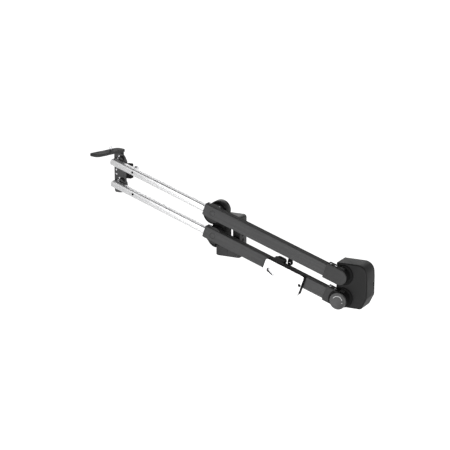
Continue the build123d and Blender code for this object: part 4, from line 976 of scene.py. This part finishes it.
def head_box():
    """Grooved box behind the plate, with the tilt thumb screw in its rear face."""
    low, high = edges_of("head_box")
    outline = rectangle(low.x, high.x, low.z, high.z, 4, 6)
    box = prism("level_box", WORLD_SIDE, [outline], -high.y, -low.y, 1.2, 4)
    cuts = []
    for index in range(SIDE_GROOVES):
        x = high.x - 20 + 4.4 * index
        groove = rectangle(x, x + GROOVE_W, low.z - 3, high.z + 3, 0.4, 2)
        cuts.append(cutter(WORLD_SIDE, [groove], -low.y - GROOVE_D, -low.y + 3))
    for index in range(REAR_GROOVES):
        z = low.z + 5 + 5.2 * index
        groove = rectangle(low.y - 3, high.y + 3, z, z + GROOVE_W, 0.4, 2)
        cuts.append(cutter(WORLD_REAR, [groove], high.x - GROOVE_D, high.x + 3))
    cuts += front_pair("clear", disc_profile(HEAD_DRUM_R + 0.1, 0, 40, 0.1), 96)
    dress(carve(box, cuts), "head", DEEP_BLACK, "black_plastic", "head_box")
    _, y, z = middle_of("head_thumb_screw")
    end = edges_of("head_thumb_screw")[1].x
    profile = [(0.0, -32), (3, -32), (3, -11.2), (7, -11.2), (7.9, -10.2), (7.9, -1.2), (7, -0.2), (5.4, 0),
               (4.8, -0.8), (0.0, -0.8)]
    thumb = lathe("thumb", WORLD_REAR, [(r, end + h) for r, h in profile], y, z, steps=192, flutes=24,
                  flute_depth=0.9, fluted=(4, 5))
    dress(thumb, "thumb_screw", SCREW_STEEL, "silver_bar", "head_thumb_screw")


PLATFORM_MID, PLATFORM_SIZE, PLATFORM_R = (-455.5, -71.0), (48.0, 142.0), 16.0
PLATFORM_TURN, WAIST, WAIST_R = math.radians(-15), 3.0, 180.0


def platform():
    """Slim waisted camera platform, turned a little, with a countersunk stud hole."""
    low, high = edges_of("platform")
    stud_x, stud_y, _ = middle_of("camera_stud")
    c, s = math.cos(PLATFORM_TURN), math.sin(PLATFORM_TURN)
    place = basis(Vector((*PLATFORM_MID, 0)) * MM, Vector((c, s, 0)), Vector((-s, c, 0)))
    wide, long = PLATFORM_SIZE[0] / 2, PLATFORM_SIZE[1] / 2
    outline = rectangle(-wide, wide, -long, long, PLATFORM_R, 16)
    plate = prism("camera_plate", place, [outline], low.z, high.z, 1.6, 5)
    reach = wide - WAIST + WAIST_R
    cutters = [lathe("waist", place, disc_profile(WAIST_R, low.z - 5, high.z + 5, 0.1), sign * reach, 0, 512)
               for sign in (-1, 1)]
    hole = [(0.0, low.z - 2), (4.2, low.z - 2), (4.2, high.z - 0.9), (6.0, high.z + 0.9), (0.0, high.z + 0.9)]
    cutters.append(lathe("stud_hole", WORLD_TOP, hole, stud_x, stud_y, 48))
    plate = carve(plate, cutters)
    edge = plate.modifiers.new("edge", "BEVEL")
    edge.width, edge.segments, edge.angle_limit = 1.0 * MM, 3, math.radians(40)
    dress(plate, "head", BODY_BLACK, "anodised_black", "platform")


head()
head_box()
platform()


# ------------------------------------------------------------------ CAD nodes that stay
for row in frame["record"]["subparts"]:
    node = frame["nodes"][row["node"]]
    if not node.hide_render:
        node.data.materials.clear()
        tip = row["node"].endswith("_bar_tip")
        node.data.materials.append(TIP_GREY if tip else FINISHES[row["material_slot"]])
        weld = node.modifiers.new("weld", "WELD")
        weld.merge_threshold = 0.000001
        round_over = node.modifiers.new("edge", "BEVEL")
        round_over.width, round_over.segments, round_over.angle_limit = 0.00025, 2, math.radians(35)


# ------------------------------------------------------------------ camera, floor and light
AZIMUTH, ELEVATION = math.radians(27.59), math.radians(14.94)
CAMERA_AT = Vector((2.2753, -4.3918, 1.4288))
LENS, SENSOR = 116.6, 36.0
FLOOR_Z, FLOOR_SIZE = -1.2, 160

lens = bpy.data.cameras.new("camera")
lens.lens, lens.sensor_width = LENS, SENSOR
lens.clip_end = 300
camera = bpy.data.objects.new("camera", lens)
SCENE.collection.objects.link(camera)
back = Vector((math.sin(AZIMUTH) * math.cos(ELEVATION), -math.cos(AZIMUTH) * math.cos(ELEVATION),
               math.sin(ELEVATION)))
camera_right = Vector((math.cos(AZIMUTH), math.sin(AZIMUTH), 0))
camera.matrix_world = basis(CAMERA_AT, camera_right, back.cross(camera_right))
SCENE.camera = camera
SCENE.view_settings.view_transform = "Standard"

bpy.ops.mesh.primitive_plane_add(size=FLOOR_SIZE, location=(0, 0, FLOOR_Z))
floor = bpy.context.object
floor.name = "studio_floor"
floor_white, floor_tree, floor_shader = blank("studio_white")
floor_shader.inputs["Base Color"].default_value = (0.6, 0.6, 0.6, 1)
floor_shader.inputs["Roughness"].default_value = 1.0
floor_shader.inputs["Specular IOR Level"].default_value = 0.0
floor_shader.inputs["Emission Color"].default_value = (1, 1, 1, 1)
floor_place = floor_tree.nodes.new("ShaderNodeTexCoord")
floor_split = floor_tree.nodes.new("ShaderNodeSeparateXYZ")
floor_tree.links.new(floor_place.outputs["Object"], floor_split.inputs["Vector"])
# the floor glows brighter behind the object than in front of it
floor_glow = spread(floor_tree, floor_split.outputs["Y"], 0.35, 1.0, (-0.6, 0.9))
floor_tree.links.new(floor_glow, floor_shader.inputs["Emission Strength"])
floor.data.materials.append(floor_white)

world = bpy.data.worlds.new("studio")
SCENE.world = world
world.use_nodes = True
sky = world.node_tree
sky_place = sky.nodes.new("ShaderNodeTexCoord")
sky_split = sky.nodes.new("ShaderNodeSeparateXYZ")
sky.links.new(sky_place.outputs["Generated"], sky_split.inputs["Vector"])
# the glow round the horizon climbs higher behind the object than in front of it
tilt = sky.nodes.new("ShaderNodeMath")
tilt.operation = "MULTIPLY_ADD"
tilt.inputs[1].default_value = -0.2
sky.links.new(sky_split.outputs["Y"], tilt.inputs[0])
sky.links.new(sky_split.outputs["Z"], tilt.inputs[2])
glow = spread(sky, tilt.outputs[0], 1.0, 0.12, (0.12, 0.4))
sky.links.new(glow, sky.nodes["Background"].inputs["Strength"])
sky.nodes["Background"].inputs["Color"].default_value = (1, 1, 1, 1)


def soft_light(name, place, size, power, aim=Vector((0, 0, 0.1))):
    lamp = bpy.data.lights.new(name, "AREA")
    lamp.shape = "RECTANGLE"
    lamp.size, lamp.size_y = size
    lamp.energy = power
    holder = bpy.data.objects.new(name, lamp)
    SCENE.collection.objects.link(holder)
    out = (Vector(place) - aim).normalized()
    right = UP.cross(out).normalized()
    holder.matrix_world = basis(Vector(place), right, out.cross(right))
    return holder


soft_light("front_light", (0.6, -3.2, 0.0), (3.0, 1.6), 112)
soft_light("back_light", (-0.6, 2.7, 1.7), (2.8, 1.2), 26)
soft_light("rear_light", (3.2, -0.4, 1.2), (1.6, 2.0), 20)
